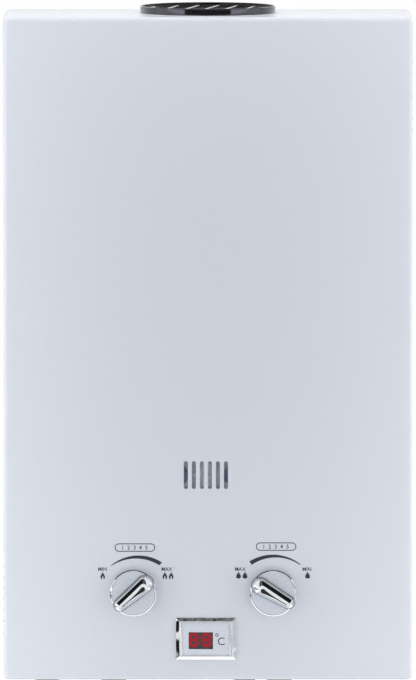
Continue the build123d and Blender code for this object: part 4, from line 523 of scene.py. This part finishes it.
def word(text, x, level, height, depth=COVER, thick=OVER, bold=0.014):
    """A printed word whose capitals have a height, centred on a place."""
    curve = bpy.data.curves.new("word", "FONT")
    curve.body = text
    curve.offset = bold
    writing = bpy.data.objects.new("word", curve)
    bpy.context.scene.collection.objects.link(writing)
    bpy.context.view_layer.update()
    flat = bpy.data.meshes.new_from_object(writing.evaluated_get(bpy.context.evaluated_depsgraph_get()))
    bpy.data.objects.remove(writing)
    work = bmesh.new()
    work.from_mesh(flat)
    bmesh.ops.remove_doubles(work, verts=work.verts, dist=1e-5)
    grown = bmesh.ops.extrude_face_region(work, geom=work.faces[:])
    for vertex in (v for v in grown["geom"] if isinstance(v, bmesh.types.BMVert)):
        vertex.co.z = 1.0
    work.verts.index_update()
    spots = [v.co.copy() for v in work.verts]
    faces = [tuple(v.index for v in face.verts) for face in work.faces]
    work.free()
    low_x, high_x = min(p.x for p in spots), max(p.x for p in spots)
    low_y, high_y = min(p.y for p in spots), max(p.y for p in spots)
    size = height / (high_y - low_y)
    points = [
        at(
            x + (p.x - (low_x + high_x) / 2) * size,
            depth + (thick if p.z > 0.5 else UNDER),
            level + (p.y - (low_y + high_y) / 2) * size,
        )
        for p in spots
    ]
    return points, faces


def through(a, b, c, steps=28):
    """Points along the arc through three points."""
    d = 2 * (a[0] * (b[1] - c[1]) + b[0] * (c[1] - a[1]) + c[0] * (a[1] - b[1]))
    sq = [p[0] ** 2 + p[1] ** 2 for p in (a, b, c)]
    mx = (sq[0] * (b[1] - c[1]) + sq[1] * (c[1] - a[1]) + sq[2] * (a[1] - b[1])) / d
    my = (sq[0] * (c[0] - b[0]) + sq[1] * (a[0] - c[0]) + sq[2] * (b[0] - a[0])) / d
    middle, start, end = Vector((mx, my)), Vector(a), Vector(c)
    sweep = (end - middle).angle_signed(start - middle)
    arm = start - middle
    outline = []
    for i in range(steps + 1):
        c, s = cos(sweep * i / steps), sin(sweep * i / steps)
        outline.append((mx + arm.x * c - arm.y * s, my + arm.x * s + arm.y * c))
    return outline


def film(spot, outer, inner):
    """A printed outline with an open middle."""
    sides = ((outer, UNDER), (outer, OVER), (inner, OVER), (inner, UNDER))
    return skin([ring(spot, FRONT, outline, height) for outline, height in sides], loop=True)


def drop(width, height, steps=24):
    """Outline of a water drop: a round belly drawn up to a point."""
    outline = []
    for i in range(steps):
        turn = tau * i / steps
        narrow = sin(turn / 2) ** 1.6
        outline.append((width / 2 * sin(turn) * narrow * 1.3, height / 2 * cos(turn)))
    return outline


# %% Dial prints
front_zero = at(0, COVER, 0)
prints = []
# Each scale grows from a line to a bar: the inner and the outer edge are two different arcs.
for inner, outer in (
    (((-77.9, 92.2), (-58.3, 98.3), (-39.0, 92.8)), ((-77.9, 92.9), (-54.5, 100.8), (-36.9, 95.2))),
    (((35.5, 93.2), (54.9, 99.2), (74.5, 93.0)), ((33.5, 96.0), (52.5, 101.5), (74.7, 93.8))),
):
    prints.append(prism(front_zero, FRONT, through(*inner) + through(*outer)[::-1], UNDER, OVER))
# A thin pill frames the numbers over each knob.
for x, level in ((-58.7, 107.2), (55.1, 108.0)):
    prints.append(film(at(x, COVER, level), rounded(32.6, 6.7, 3.3, 8), rounded(31.2, 5.3, 2.6, 8)))
    prints.append(word("1  2  3  4  5", x, level, 3.3))
for text, x in (("MIN", -84.9), ("MAX", -33.0), ("MAX", 26.4), ("MIN", 80.0)):
    prints.append(word(text, x, 89.8, 2.9))
# Drops for the flow, and flames, which are drops with a light heart, for the temperature.
for x in (24.8, 30.0, 80.5):
    prints.append(prism(at(x, COVER, 84.9), FRONT, drop(4.4, 5.6), UNDER, OVER))
for x in (-84.7, -34.6, -29.5):
    heart = [(0.36 * px, 0.5 * py - 1.5) for px, py in drop(4.2, 6.0)]
    prints.append(film(at(x, COVER, 84.5), drop(4.2, 6.0), heart))
piece("dial_print", prints, "casing", "black_plastic", material=ink)
UNIT_DEPTH, THIN = COVER + 2.4, 0.04
spot = at(7.4, UNIT_DEPTH, 36.6)
sides = ((1.35, UNDER), (1.35, THIN), (0.75, THIN), (0.75, UNDER))
degree = skin([ring(spot, FRONT, circle(radius, 24), height) for radius, height in sides], loop=True)
unit = [degree, word("C", 10.9, 31.6, 6.2, UNIT_DEPTH, THIN, 0.0)]
piece("unit_print", unit, "casing", "black_plastic", material=ink)

# %% [markdown]
# ## What repeats, by Geometry Nodes
# Screws, louvres, grille wires and threads are one shape many times over, by a rule. Geometry Nodes keep
# the rule: a tree with named sizes places the shape, and changing one number changes them all. The
# result is then turned into a plain mesh, because the export and the joints want real faces.


# %% Running a tree
def started(name, inputs):
    """A tree with named inputs at their usual values, a material last, and its first node's outputs."""
    tree = bpy.data.node_groups.new(name, "GeometryNodeTree")
    inputs = [("Geometry", "Geometry", None), *inputs, ("Material", "Material", None)]
    for title, kind, value in inputs:
        socket = tree.interface.new_socket(title, in_out="INPUT", socket_type="NodeSocket" + kind)
        if value is not None:
            socket.default_value = value
    tree.interface.new_socket("Geometry", in_out="OUTPUT", socket_type="NodeSocketGeometry")
    return tree, tree.nodes.new("NodeGroupInput").outputs


def centred_line(tree, given):
    """Points along X at the tree's pitch. The line starts half its own length back."""
    gaps = add(tree, "ShaderNodeMath", {1: 1.0}, {0: given["Count"]}, operation="SUBTRACT")
    both = {0: gaps.outputs[0], 1: given["Pitch"]}
    length = add(tree, "ShaderNodeMath", None, both, operation="MULTIPLY")
    start = add(tree, "ShaderNodeMath", {1: -0.5}, {0: length.outputs[0]}, operation="MULTIPLY")
    first = add(tree, "ShaderNodeCombineXYZ", None, {"X": start.outputs[0]})
    step = add(tree, "ShaderNodeCombineXYZ", None, {"X": given["Pitch"]})
    links = {"Count": given["Count"], "Start Location": first.outputs[0], "Offset": step.outputs[0]}
    return add(tree, "GeometryNodeMeshLine", None, links).outputs["Mesh"]


def wired(tree, curve, radius, sides):
    """A wire of one radius swept along a curve."""
    section = add(tree, "GeometryNodeCurvePrimitiveCircle", {"Resolution": sides}, {"Radius": radius})
    links = {"Curve": curve, "Profile Curve": section.outputs["Curve"]}
    return add(tree, "GeometryNodeCurveToMesh", {"Fill Caps": True}, links).outputs[0]


def ended(tree, given, shape, **more):
    """Ends a tree: sets a shape on each of its points, as real faces with their material."""
    links = {"Points": given["Geometry"], "Instance": shape, **more}
    copies = add(tree, "GeometryNodeInstanceOnPoints", None, links)
    real = add(tree, "GeometryNodeRealizeInstances", None, {"Geometry": copies.outputs[0]})
    links = {"Geometry": real.outputs[0], "Material": given["Material"]}
    dressed = add(tree, "GeometryNodeSetMaterial", None, links)
    add(tree, "NodeGroupOutput", None, {"Geometry": dressed.outputs[0]})


def grown(name, tree, spots, sizes, facings=None):
    """Runs a tree on some points and returns a plain mesh."""
    cloud = bpy.data.meshes.new(name)
    cloud.from_pydata(spots, [], [])
    facing = cloud.attributes.new("facing", "FLOAT_VECTOR", "POINT")
    for i, direction in enumerate(facings or [(0, 0, 1)] * len(spots)):
        facing.data[i].vector = direction
    seed = bpy.data.objects.new(name, cloud)
    bpy.context.scene.collection.objects.link(seed)
    modifier = seed.modifiers.new("grow", "NODES")
    modifier.node_group = tree
    for item in tree.interface.items_tree:
        if item.in_out == "INPUT" and item.name in sizes:
            modifier[item.identifier] = sizes[item.name]
    mesh = bpy.data.meshes.new_from_object(seed.evaluated_get(bpy.context.evaluated_depsgraph_get()))
    bpy.data.objects.remove(seed)
    return mesh


# %% The tree for rows
row_inputs = [("Shape", "Object", None), ("Count", "Int", 1), ("Pitch", "Float", 0.01)]
row_tree, given = started("Rows of one shape", row_inputs)
shape = add(row_tree, "GeometryNodeObjectInfo", None, {"Object": given["Shape"]})
links = {"Points": centred_line(row_tree, given), "Instance": shape.outputs["Geometry"]}
row = add(row_tree, "GeometryNodeInstanceOnPoints", None, links)
direction = add(row_tree, "GeometryNodeInputNamedAttribute", {"Name": "facing"}, data_type="FLOAT_VECTOR")
links = {"Vector": direction.outputs["Attribute"]}
turn = add(row_tree, "FunctionNodeAlignRotationToVector", None, links, axis="Z")
ended(row_tree, given, row.outputs[0], Rotation=turn.outputs[0])


def repeated(name, shapes, spots, facings, material, count=1, pitch=0.0):
    """A mesh of one shape set in rows on some spots, each row facing its own way."""
    template = bpy.data.objects.new(name + "_shape", joined(name + "_shape", shapes))
    bpy.context.scene.collection.objects.link(template)
    sizes = {"Shape": template, "Count": count, "Pitch": pitch * MM, "Material": material}
    mesh = grown(name, row_tree, spots, sizes, facings)
    bpy.data.objects.remove(template)
    return mesh


# %% [markdown]
# ### Screws
# Low pan-head screws with a cross recess hold the cover and the collar. The head's rings have the points
# of the cross at every height: they lie on a circle outside and on the cross at the top, and then sink to
# a smaller cross. So no boolean is needed and the head stays a few dozen faces.

# %% Sheet-metal screws
HEAD_RADIUS, SHANK, FLANGE_HOLE = 3.6, 1.9, 48.0


def cross(reach, half):
    """Outline of a cross with 16 points, four for each arm."""
    arm = [(reach, -half), (reach, half), (half * 1.25, half * 1.25)]
    outline = []
    for k in range(4):
        c, s = cos(k * pi / 2), sin(k * pi / 2)
        outline += [(x * c - y * s, x * s + y * c) for x, y in arm]
    return outline


def swept(outline, radius):
    """The points of a circle at the angles of an outline's points."""
    return [(x * radius / (x * x + y * y) ** 0.5, y * radius / (x * x + y * y) ** 0.5) for x, y in outline]


star = cross(2.1, 0.45)
origin = Vector((0, 0, 0))
head = [
    ring(origin, ABOVE, swept(star, radius), height)
    for radius, height in ((0.001, 0), (HEAD_RADIUS, 0), (HEAD_RADIUS, 0.5), (3.2, 0.95), (2.5, 1.2))
]
head += [ring(origin, ABOVE, star, 1.25), ring(origin, ABOVE, cross(0.7, 0.2), 0.3)]
shank = [(0.001, -8), (0.6, -7.8)]
for i in range(6):
    shank += [(SHANK, -7.0 + 1.1 * i), (1.45, -6.45 + 1.1 * i)]
shank += [(SHANK, -0.3), (SHANK, 0.0)]
screw_spots = [at(side * SIDE, 32.5, level) for side in (-1, 1) for level in (60, 267.5, 475)]
screw_facings = [(side, 0, 0) for side in (-1, 1) for level in range(3)]
screw_spots += [at(FLANGE_HOLE * i, FLUE + FLANGE_HOLE * j, 507) for i in (-1, 1) for j in (-1, 1)]
screw_facings += [(0, 0, 1)] * 4
shapes = [skin(head), turned(origin, ABOVE, shank, 16)]
screws = repeated("cross_screws", shapes, screw_spots, screw_facings, finishes["zinc_screw"])
piece("cross_screws", screws, "casing", "zinc_screw", ["sheet_screws"], 30)

# %% [markdown]
# ### Louvres
# The cover's side slots are lanced: a press cuts the lower edge and pushes the metal out above it, so
# rain and lint fall past. Each hood is a thin crescent that swells in the middle and dies out at both
# ends. One hood in Python, four rows of seven from the tree.


# %% Louvre hoods
def hood(down, length=45.0, bulge=0.9, rise=3.2, sheet=0.5, steps=16):
    """A pressed hood that stands out along Z and opens towards one side in X."""
    rings = []
    for i in range(steps + 1):
        t = -1 + 2 * i / steps
        swell = max(1 - t**4, 0.0) ** 0.5
        out, tall = bulge * swell, 0.4 + (rise - 0.4) * swell
        outer = [(tall * cos(k * pi / 8), out * sin(k * pi / 8)) for k in range(5)]
        inner = [
            (max(x - sheet, -0.2) if x > sheet else x, max(z - sheet * swell, 0.0)) for x, z in outer[::-1]
        ]
        rings.append([Vector((-down * (x - 1.6), t * length / 2, z)) * MM for x, z in outer + inner])
    return skin(rings)


for side, name in ((1, "right"), (-1, "left")):
    spots, facings = [at(side * SIDE, 88, level) for level in (62, 470)], [(side, 0, 0)] * 2
    hoods = repeated("louvres_" + name, [hood(side)], spots, facings, finishes["white_enamel"], 7, 9.0)
    piece("louvres_" + name, hoods, "casing", "white_enamel")

# %% [markdown]
# ### Flue grille
# A bird guard closes the collar: bright bars laid slantwise over a finer row of blackened wires, all
# welded to a ring. Every rod is a chord, so its half length is the square root of the ring's radius
# squared less its offset squared. The tree works that out for each point of a line, instances a
# stretched wire there and sweeps it round. It runs twice, for the bars and for the wires.

# %% Chord tree
chord_tree, given = started(
    "Rods laid as chords",
    [
        ("Radius", "Float", 0.05),
        ("Pitch", "Float", 0.016),
        ("Count", "Int", 7),
        ("Thickness", "Float", 0.001),
        ("Turn", "Float", 0.0),
    ],
)
line = centred_line(chord_tree, given)
spot = add(chord_tree, "GeometryNodeInputPosition")
split = add(chord_tree, "ShaderNodeSeparateXYZ", None, {0: spot.outputs[0]})
offset = add(chord_tree, "ShaderNodeMath", {1: 2.0}, {0: split.outputs["X"]}, operation="POWER")
whole = add(chord_tree, "ShaderNodeMath", {1: 2.0}, {0: given["Radius"]}, operation="POWER")
both = {0: whole.outputs[0], 1: offset.outputs[0]}
rest = add(chord_tree, "ShaderNodeMath", None, both, operation="SUBTRACT")
half = add(chord_tree, "ShaderNodeMath", {1: 0.5}, {0: rest.outputs[0]}, operation="POWER")
stretch = add(chord_tree, "ShaderNodeCombineXYZ", {"X": 1.0, "Z": 1.0}, {"Y": half.outputs[0]})
wire = add(chord_tree, "GeometryNodeCurvePrimitiveLine", {"Start": (0, -1, 0), "End": (0, 1, 0)})
links = {"Points": line, "Instance": wire.outputs[0], "Scale": stretch.outputs[0]}
laid = add(chord_tree, "GeometryNodeInstanceOnPoints", None, links)
real = add(chord_tree, "GeometryNodeRealizeInstances", None, {0: laid.outputs[0]})
rods = wired(chord_tree, real.outputs[0], given["Thickness"], 10)
spin = add(chord_tree, "ShaderNodeCombineXYZ", None, {"Z": given["Turn"]})
links = {"Geometry": rods, "Rotation": spin.outputs[0]}
turned_rods = add(chord_tree, "GeometryNodeTransform", None, links)
ended(chord_tree, given, turned_rods.outputs[0])

# %% Grille
GUARD_RADIUS, GUARD_LEVEL = 52.5, 538.3
finishes["bright_wire"] = finish("Drawn_steel_wire", ("#E2E4E8", "#CACDD2"), (0.2, 0.32), 1.5, metallic=0.6)
for name, pitch, count, thickness, turn, down, coat in (
    ("guard_bars", 15.8, 7, 0.75, -10, 0.0, "bright_wire"),
    ("guard_wires", 5.0, 21, 0.55, 90, 1.3, "black_wire"),
):
    sizes = {"Radius": GUARD_RADIUS * MM, "Pitch": pitch * MM, "Count": count, "Thickness": thickness * MM}
    sizes |= {"Turn": radians(turn), "Material": finishes[coat]}
    rods = grown(name, chord_tree, [at(0, FLUE, GUARD_LEVEL - down)], sizes)
    piece(name, rods, "casing", "black_wire", ["flue_grille"], 60, finishes[coat])
hoop_section = [(GUARD_RADIUS + 1.3 * cos(tau * i / 12), 1.3 * sin(tau * i / 12)) for i in range(12)]
hoop = turned(at(0, FLUE, GUARD_LEVEL - 0.6), ABOVE, hoop_section, 96, loop=True)
piece("guard_hoop", [hoop], "casing", "black_wire", (), 60)

# %% [markdown]
# ### Flue collar
# The collar is spun from sheet: a short spigot with a small rolled rim on a square flange, black outside.
# A finer lathe profile than the CAD's keeps its wide mirror bands smooth. A thin white trim ring closes
# the gap between it and the hole in the casing's top.

# %% Collar and trim ring
COLLAR_RADIUS, COLLAR_TOP, FLANGE_LEVEL, ROLL, LEDGE = 55.0, 541.0, 506.0, 0.7, 533.2
spot = at(0, FLUE, 0)
bore, foot_level = COLLAR_RADIUS - 1.0, FLANGE_LEVEL + 0.5
roll = [
    (bore + 0.3 + ROLL * cos(pi * k / 8), COLLAR_TOP - ROLL + ROLL * sin(pi * k / 8)) for k in range(8)
]
wall = [(COLLAR_RADIUS, foot_level), (COLLAR_RADIUS, COLLAR_TOP - 0.75), *roll, (bore, COLLAR_TOP - ROLL)]
lip = [(bore, LEDGE), (bore - 1.5, LEDGE), (bore - 1.5, LEDGE - 1.2), (bore, LEDGE - 1.2)]
wall += [*lip, (bore, foot_level)]
square = rounded(122, 122, 4, 8)
hole = swept(square, bore)
sides = ((square, 0), (square, 1), (hole, 1), (hole, 0))
plate = [ring(spot, ABOVE, outline, FLANGE_LEVEL + height) for outline, height in sides]
collar = [turned(spot, ABOVE, wall, 160, loop=True), skin(plate, loop=True)]
piece("spun_collar", collar, "casing", "black_enamel", ["flue_collar"], 40)
trim_section = ((0.1, 0), (4.8, 0), (4.7, 0.15), (4.4, 0.25), (0.4, 0.35), (0.1, 0.35))
trim_profile = [(COLLAR_RADIUS + out, height) for out, height in trim_section]
trim = turned(at(0, FLUE, 535), ABOVE, trim_profile, 128, loop=True)
piece("flue_trim", [trim], "casing", "white_enamel")

# %% [markdown]
# ### Flame window
# Behind the six viewing slots the cover carries a smoked mica pane with a wire gauze in front of it, so
# the flames can be seen but not touched. The photo shows it as slate grey with small slanting glints.
# The gauze is two rows of slanting wires from the same tree as the screws.

# %% Pane and gauze
VENT_X, VENT_LEVEL, PANE_DEPTH = -1.5, 165.8, 148.0
finishes["mica"] = finish("Smoked_mica", ("#474E63", "#575F78"), (0.25, 0.4), 6.0)
spot = at(VENT_X, PANE_DEPTH, VENT_LEVEL)
sides = ((46, 27, 0), (46, 27, 1.2), (40, 24, 1.2), (40, 24, 0))
frame_loop = [ring(spot, FRONT, rounded(w, h, 1.0), out) for w, h, out in sides]
pane = [skin(frame_loop, loop=True), prism(spot, FRONT, rounded(41, 25, 1.0), 0.1, 0.5)]
piece("mica_pane", pane, "casing", "galvanised_steel", material=finishes["mica"])


def strand(angle, reach=11.6, radius=0.27):
    """One gauze wire that slants across the pane."""
    across, along, out = turned_axes(ABOVE, angle)
    half = reach / cos(radians(angle))
    return skin([ring(along * y * MM, (across, out, along), circle(radius, 6), 0) for y in (-half, half)])


gauze_spot = [at(VENT_X, PANE_DEPTH + 0.75, VENT_LEVEL)]
for name, angle in (("gauze_left", 42), ("gauze_right", -42)):
    gauze = repeated(name, [strand(angle)], gauze_spot, [(0, -1, 0)], finishes["bright_wire"], 15, 1.5)
    piece(name, gauze, "casing", "stainless_steel", (), 60, finishes["bright_wire"])

# %% [markdown]
# ### Pipe fittings
# Three half-inch fittings come out below. Each is a turned brass body with a hexagon and a parallel
# thread of 14 turns to the inch. The thread is a four-sided wire wound on a helix: the tree draws the
# spiral, sweeps the wire along it and sets one at each fitting.

# %% Thread tree and fittings
THREAD_RADIUS, RIDGE, THREAD_PITCH = 10.48, 0.75, 25.4 / 14
thread_tree, given = started(
    "Pipe thread",
    [
        ("Radius", "Float", 0.01),
        ("Ridge", "Float", 0.0007),
        ("Pitch", "Float", 0.0018),
        ("Turns", "Float", 8.0),
    ],
)
both = {0: given["Pitch"], 1: given["Turns"]}
height = add(thread_tree, "ShaderNodeMath", None, both, operation="MULTIPLY")
both = {0: given["Radius"], 1: given["Ridge"]}
middle = add(thread_tree, "ShaderNodeMath", None, both, operation="SUBTRACT").outputs[0]
links = {"Rotations": given["Turns"], "Height": height.outputs[0]}
links |= {"Start Radius": middle, "End Radius": middle}
helix = add(thread_tree, "GeometryNodeCurveSpiral", {"Resolution": 40}, links)
ended(thread_tree, given, wired(thread_tree, helix.outputs[0], given["Ridge"], 4))


def hexagon(flats):
    """Outline of a hexagon across flats."""
    return [(flats / 3**0.5 * cos(pi * i / 3), flats / 3**0.5 * sin(pi * i / 3)) for i in range(6)]


PIPE_DEPTH, FLATS = 85.0, 27.0
cuts = ((1.2, 2), (0, 2.5), (0, 9.3), (1.6, 10))
sizes = {"Radius": THREAD_RADIUS * MM, "Ridge": RIDGE * MM, "Pitch": THREAD_PITCH * MM, "Turns": 8.0}
sizes["Material"] = finishes["brass"]
for name, x, top, bore in (
    ("gas_inlet", -76.0, 45.0, 7.0),
    ("cold_inlet", 58.0, 46.0, 7.0),
    ("hot_outlet", -130.0, 22.0, 6.05),
):
    profile = [
        (bore, -22), (8.9, -22), (9.45, -21.5), (9.45, -6.8), (9.7, -6.5), (9.7, -5), (10.4, -4.8),
        (10.4, 2), (9, 2.2), (9, top), (bore, top),
    ]
    spot = at(x, PIPE_DEPTH, 0)
    body = turned(spot, ABOVE, profile, 72, loop=True)
    nut = [ring(spot, ABOVE, hexagon(FLATS - cut), level) for cut, level in cuts]
    thread = grown(name + "_thread", thread_tree, [at(x, PIPE_DEPTH, -21.2)], sizes)
    piece(name + "_thread", thread, "casing", "brass")
    fitting = joined(name, [body, skin(nut)])
    piece(name + "_body", fitting, "casing", "brass", [name + "_fitting"])

# %% [markdown]
# ### The gas disc's spring
# Inside the valve a coil spring presses the gas disc on its seat, and the water's push lifts it by four
# millimetres. One end of the coil stays where it is and the other follows the disc. Here the piece rides on
# the casing at the full length of the CAD spring, and the thread's tree winds it.

# %% Disc spring
near, far = (Vector(corner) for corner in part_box("gas_disc_spring"))
WIRE, TURNS, LIFT = 0.4 * MM, 4.0, 4.0 * MM
sizes = {"Radius": (far.z - near.z) / 2, "Ridge": WIRE, "Turns": TURNS, "Material": finishes["spring_steel"]}
sizes["Pitch"] = (far.x - near.x - 2 * WIRE) / TURNS
coil = grown("disc_spring", thread_tree, [(0, 0, 0)], sizes)
centre = (near + far) / 2
for vertex in coil.vertices:
    x, y, z = vertex.co
    vertex.co = (near.x + WIRE + z, centre.y + y, centre.z + x)
spring = piece("disc_spring", coil, "casing", "spring_steel", ["gas_disc_spring"], 60)
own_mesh(spring)

# %% [markdown]
# ## Studio
# The photo is a catalogue shot: white all round, soft light, and the camera a little above the heater,
# so the collar's mouth shows as a thin ellipse. The front's sides are parallel in it, which takes a long
# way off: the camera stands twelve metres back with a very long lens and looks slightly down.

# %% Camera
camera = bpy.data.objects.new("camera", bpy.data.cameras.new("camera"))
bpy.context.scene.collection.objects.link(camera)
camera.location = (0, -12.150, 0.876)
aim = Vector((0.0002, -0.150, 0.0075))
camera.rotation_euler = (aim - camera.location).to_track_quat("-Z", "Y").to_euler()
camera.data.sensor_width = 36
camera.data.lens = 790.8
bpy.context.scene.camera = camera

# %% [markdown]
# White paper round a mirror makes the mirror vanish, so photographers hang dark cards where chrome
# should turn dark. The cards here are seen only by reflections: they shade nothing. The one overhead
# draws the knobs' black bands and arcs, the streaked one the display's upper slope, the left ones its left
# slope, and the slate ones the collar's bands. The floor and the world are white for the camera and for
# reflections, but light the heater at a plain level.


# %% World, floor and cards
def looked_at(tree, *kinds):
    """One for rays of these kinds, which look at things, and zero for those that light them."""
    rays = add(tree, "ShaderNodeLightPath")
    total = rays.outputs["Is " + kinds[0] + " Ray"]
    for kind in kinds[1:]:
        both = {0: total, 1: rays.outputs["Is " + kind + " Ray"]}
        total = add(tree, "ShaderNodeMath", None, both, operation="ADD", use_clamp=True).outputs[0]
    return total


world = bpy.data.worlds.new("white_studio")
bpy.context.scene.world = world
world.use_nodes = True
tree = world.node_tree
tree.nodes.clear()
seen = looked_at(tree, "Camera", "Glossy", "Transmission")
WORLD_LIGHT = 0.35
level = add(tree, "ShaderNodeMapRange", {"To Min": WORLD_LIGHT, "To Max": 1.0}, {"Value": seen})
sky = add(tree, "ShaderNodeBackground", {"Color": (1, 1, 1, 1)}, {"Strength": level.outputs["Result"]})
add(tree, "ShaderNodeOutputWorld", None, {"Surface": sky.outputs[0]})


def sheet(name, corner, along, across, material):
    """A flat sheet of the stage from one corner and two sides."""
    corner, along, across = Vector(corner), Vector(along), Vector(across)
    mesh = bpy.data.meshes.new(name)
    mesh.from_pydata([corner, corner + along, corner + along + across, corner + across], [], [(0, 1, 2, 3)])
    mesh.materials.append(material)
    thing = bpy.data.objects.new(name, mesh)
    bpy.context.scene.collection.objects.link(thing)
    return thing


paper, tree = blank("White_paper_floor")
matte = add(tree, "ShaderNodeBsdfDiffuse", {"Color": linear("#E6E6E6")})
seen = looked_at(tree, "Camera", "Glossy")
lift = add(tree, "ShaderNodeMath", {1: 0.72}, {0: seen}, operation="MULTIPLY")
glow = add(tree, "ShaderNodeEmission", None, {"Strength": lift.outputs[0]})
lit_paper = add(tree, "ShaderNodeAddShader", None, {0: matte.outputs[0], 1: glow.outputs[0]})
# From below the paper is clear, so the heater's underside can be looked at.
under = add(tree, "ShaderNodeNewGeometry").outputs["Backfacing"]
clear = add(tree, "ShaderNodeBsdfTransparent")
paper_side = add(tree, "ShaderNodeMixShader", None, {0: under, 1: lit_paper.outputs[0], 2: clear.outputs[0]})
add(tree, "ShaderNodeOutputMaterial", None, {"Surface": paper_side.outputs[0]})
sheet("floor", (-12, -12, -0.42), (24, 0, 0), (0, 24, 0), paper)


def card_paint(name, colour, strength):
    """A card that reflections see in one tone."""
    material, tree = blank(name)
    glow = add(tree, "ShaderNodeEmission", {"Color": (*colour, 1.0), "Strength": strength})
    add(tree, "ShaderNodeOutputMaterial", None, {"Surface": glow.outputs[0]})
    return material


SLATE, PALE = (0.8, 0.78, 1.0), (0.93, 0.96, 1.0)
card_black = card_paint("Black_card", (1, 1, 1), 0.012)
card_slate = card_paint("Slate_card", SLATE, 2.4)
card_dim = card_paint("Dim_slate_card", SLATE, 0.8)
card_pale = card_paint("Pale_card", PALE, 0.72)
card_streaked, tree = blank("Streaked_card")
spot = placed(tree, 9, (1, 16, 1))
streak = add(tree, "ShaderNodeTexNoise", {"Scale": 1.0, "Detail": 1.0}, {"Vector": spot})
spread = {"From Min": 0.4, "From Max": 0.7, "To Max": 0.5}
dark = add(tree, "ShaderNodeMapRange", spread, {"Value": streak.outputs["Fac"]})
streaks = add(tree, "ShaderNodeEmission", None, {"Strength": dark.outputs["Result"]})
add(tree, "ShaderNodeOutputMaterial", None, {"Surface": streaks.outputs[0]})
for name, corner, along, across, material in (
    ("card_over", (-2.4, -1.6, 1.3), (4.8, 0, 0), (0, 2.2, 0), card_black),
    ("card_middle", (-0.3, -1.5, 1.28), (0.6, 0, 0), (0, 2.0, 0), card_streaked),
    ("card_front", (-3.2, -4.0, -0.2), (6.4, 0, 0), (0, 0, 0.4), card_black),
    ("card_left_floor", (-1.3, -1.1, -0.415), (0.55, 0, 0), (0, 1.4, 0), card_black),
    ("card_left_low", (-1.2, -1.1, -0.41), (0, 1.4, 0), (0, 0, 0.068), card_black),
    ("card_left_high", (-1.2, -1.1, -0.287), (0, 1.4, 0), (0, 0, 0.092), card_black),
    ("card_right", (1.2, -1.1, -0.42), (0, 1.4, 0), (0, 0, 0.5), card_pale),
    ("card_floor", (-1.0, -2.2, -0.415), (2.0, 0, 0), (0, 1.9, 0), card_pale),
    ("slate_left", (-3.3, -4.0, -0.2), (-1.6, 4.6, 0), (0, 0, 0.8), card_slate),
    ("slate_right", (3.3, -4.0, -0.2), (1.6, 4.6, 0), (0, 0, 0.8), card_slate),
    ("dim_left", (-4.9, 0.6, -0.2), (3.0, 5.0, 0), (0, 0, 1.2), card_dim),
    ("dim_right", (4.9, 0.6, -0.2), (-3.0, 5.0, 0), (0, 0, 1.2), card_dim),
):
    card = sheet(name, corner, along, across, material)
    card.visible_camera = card.visible_diffuse = card.visible_shadow = card.visible_transmission = False

# %% [markdown]
# Soft boxes are area lamps. The photo's face is darkest above its middle and grows lighter towards every
# edge, which takes strips that stand near it: one on each side, one over it and one under it. A wider one
# overhead lights the top, and two behind the face's plane light its sides. They hide from the camera and
# from reflections, because they stand close to the picture's frame: what the chrome mirrors is the cards.


# %% Lamps
def lamp(name, place, target, width, height, power):
    """A soft box that faces a target."""
    light = bpy.data.lights.new(name, "AREA")
    light.shape, light.size, light.size_y, light.energy = "RECTANGLE", width, height, power
    thing = bpy.data.objects.new(name, light)
    thing.location = place
    thing.rotation_euler = (Vector(target) - Vector(place)).to_track_quat("-Z", "Y").to_euler()
    thing.visible_camera = thing.visible_glossy = False
    bpy.context.scene.collection.objects.link(thing)


for name, place, target, width, height, power in (
    ("left_box", (-0.36, -0.34, -0.02), (0, -0.15, -0.02), 0.12, 0.9, 1.0),
    ("right_box", (0.36, -0.34, -0.02), (0, -0.15, -0.02), 0.12, 0.9, 0.9),
    ("top_box", (0, -0.34, 0.594), (0, -0.15, 0.2), 0.7, 0.12, 1.1),
    ("low_box", (0, -0.39, -0.41), (0, -0.15, -0.2), 0.7, 0.05, 0.3),
    ("over_box", (0, 0.1, 1.2), (0, -0.07, 0.27), 1.0, 0.8, 4.2),
    ("left_side", (-0.8, -0.06, 0), (0, -0.07, 0), 0.5, 0.9, 2.0),
    ("right_side", (0.8, -0.06, 0), (0, -0.07, 0), 0.5, 0.9, 2.0),
):
    lamp(name, place, target, width, height, power)
bpy.context.scene.view_settings.view_transform = "Standard"
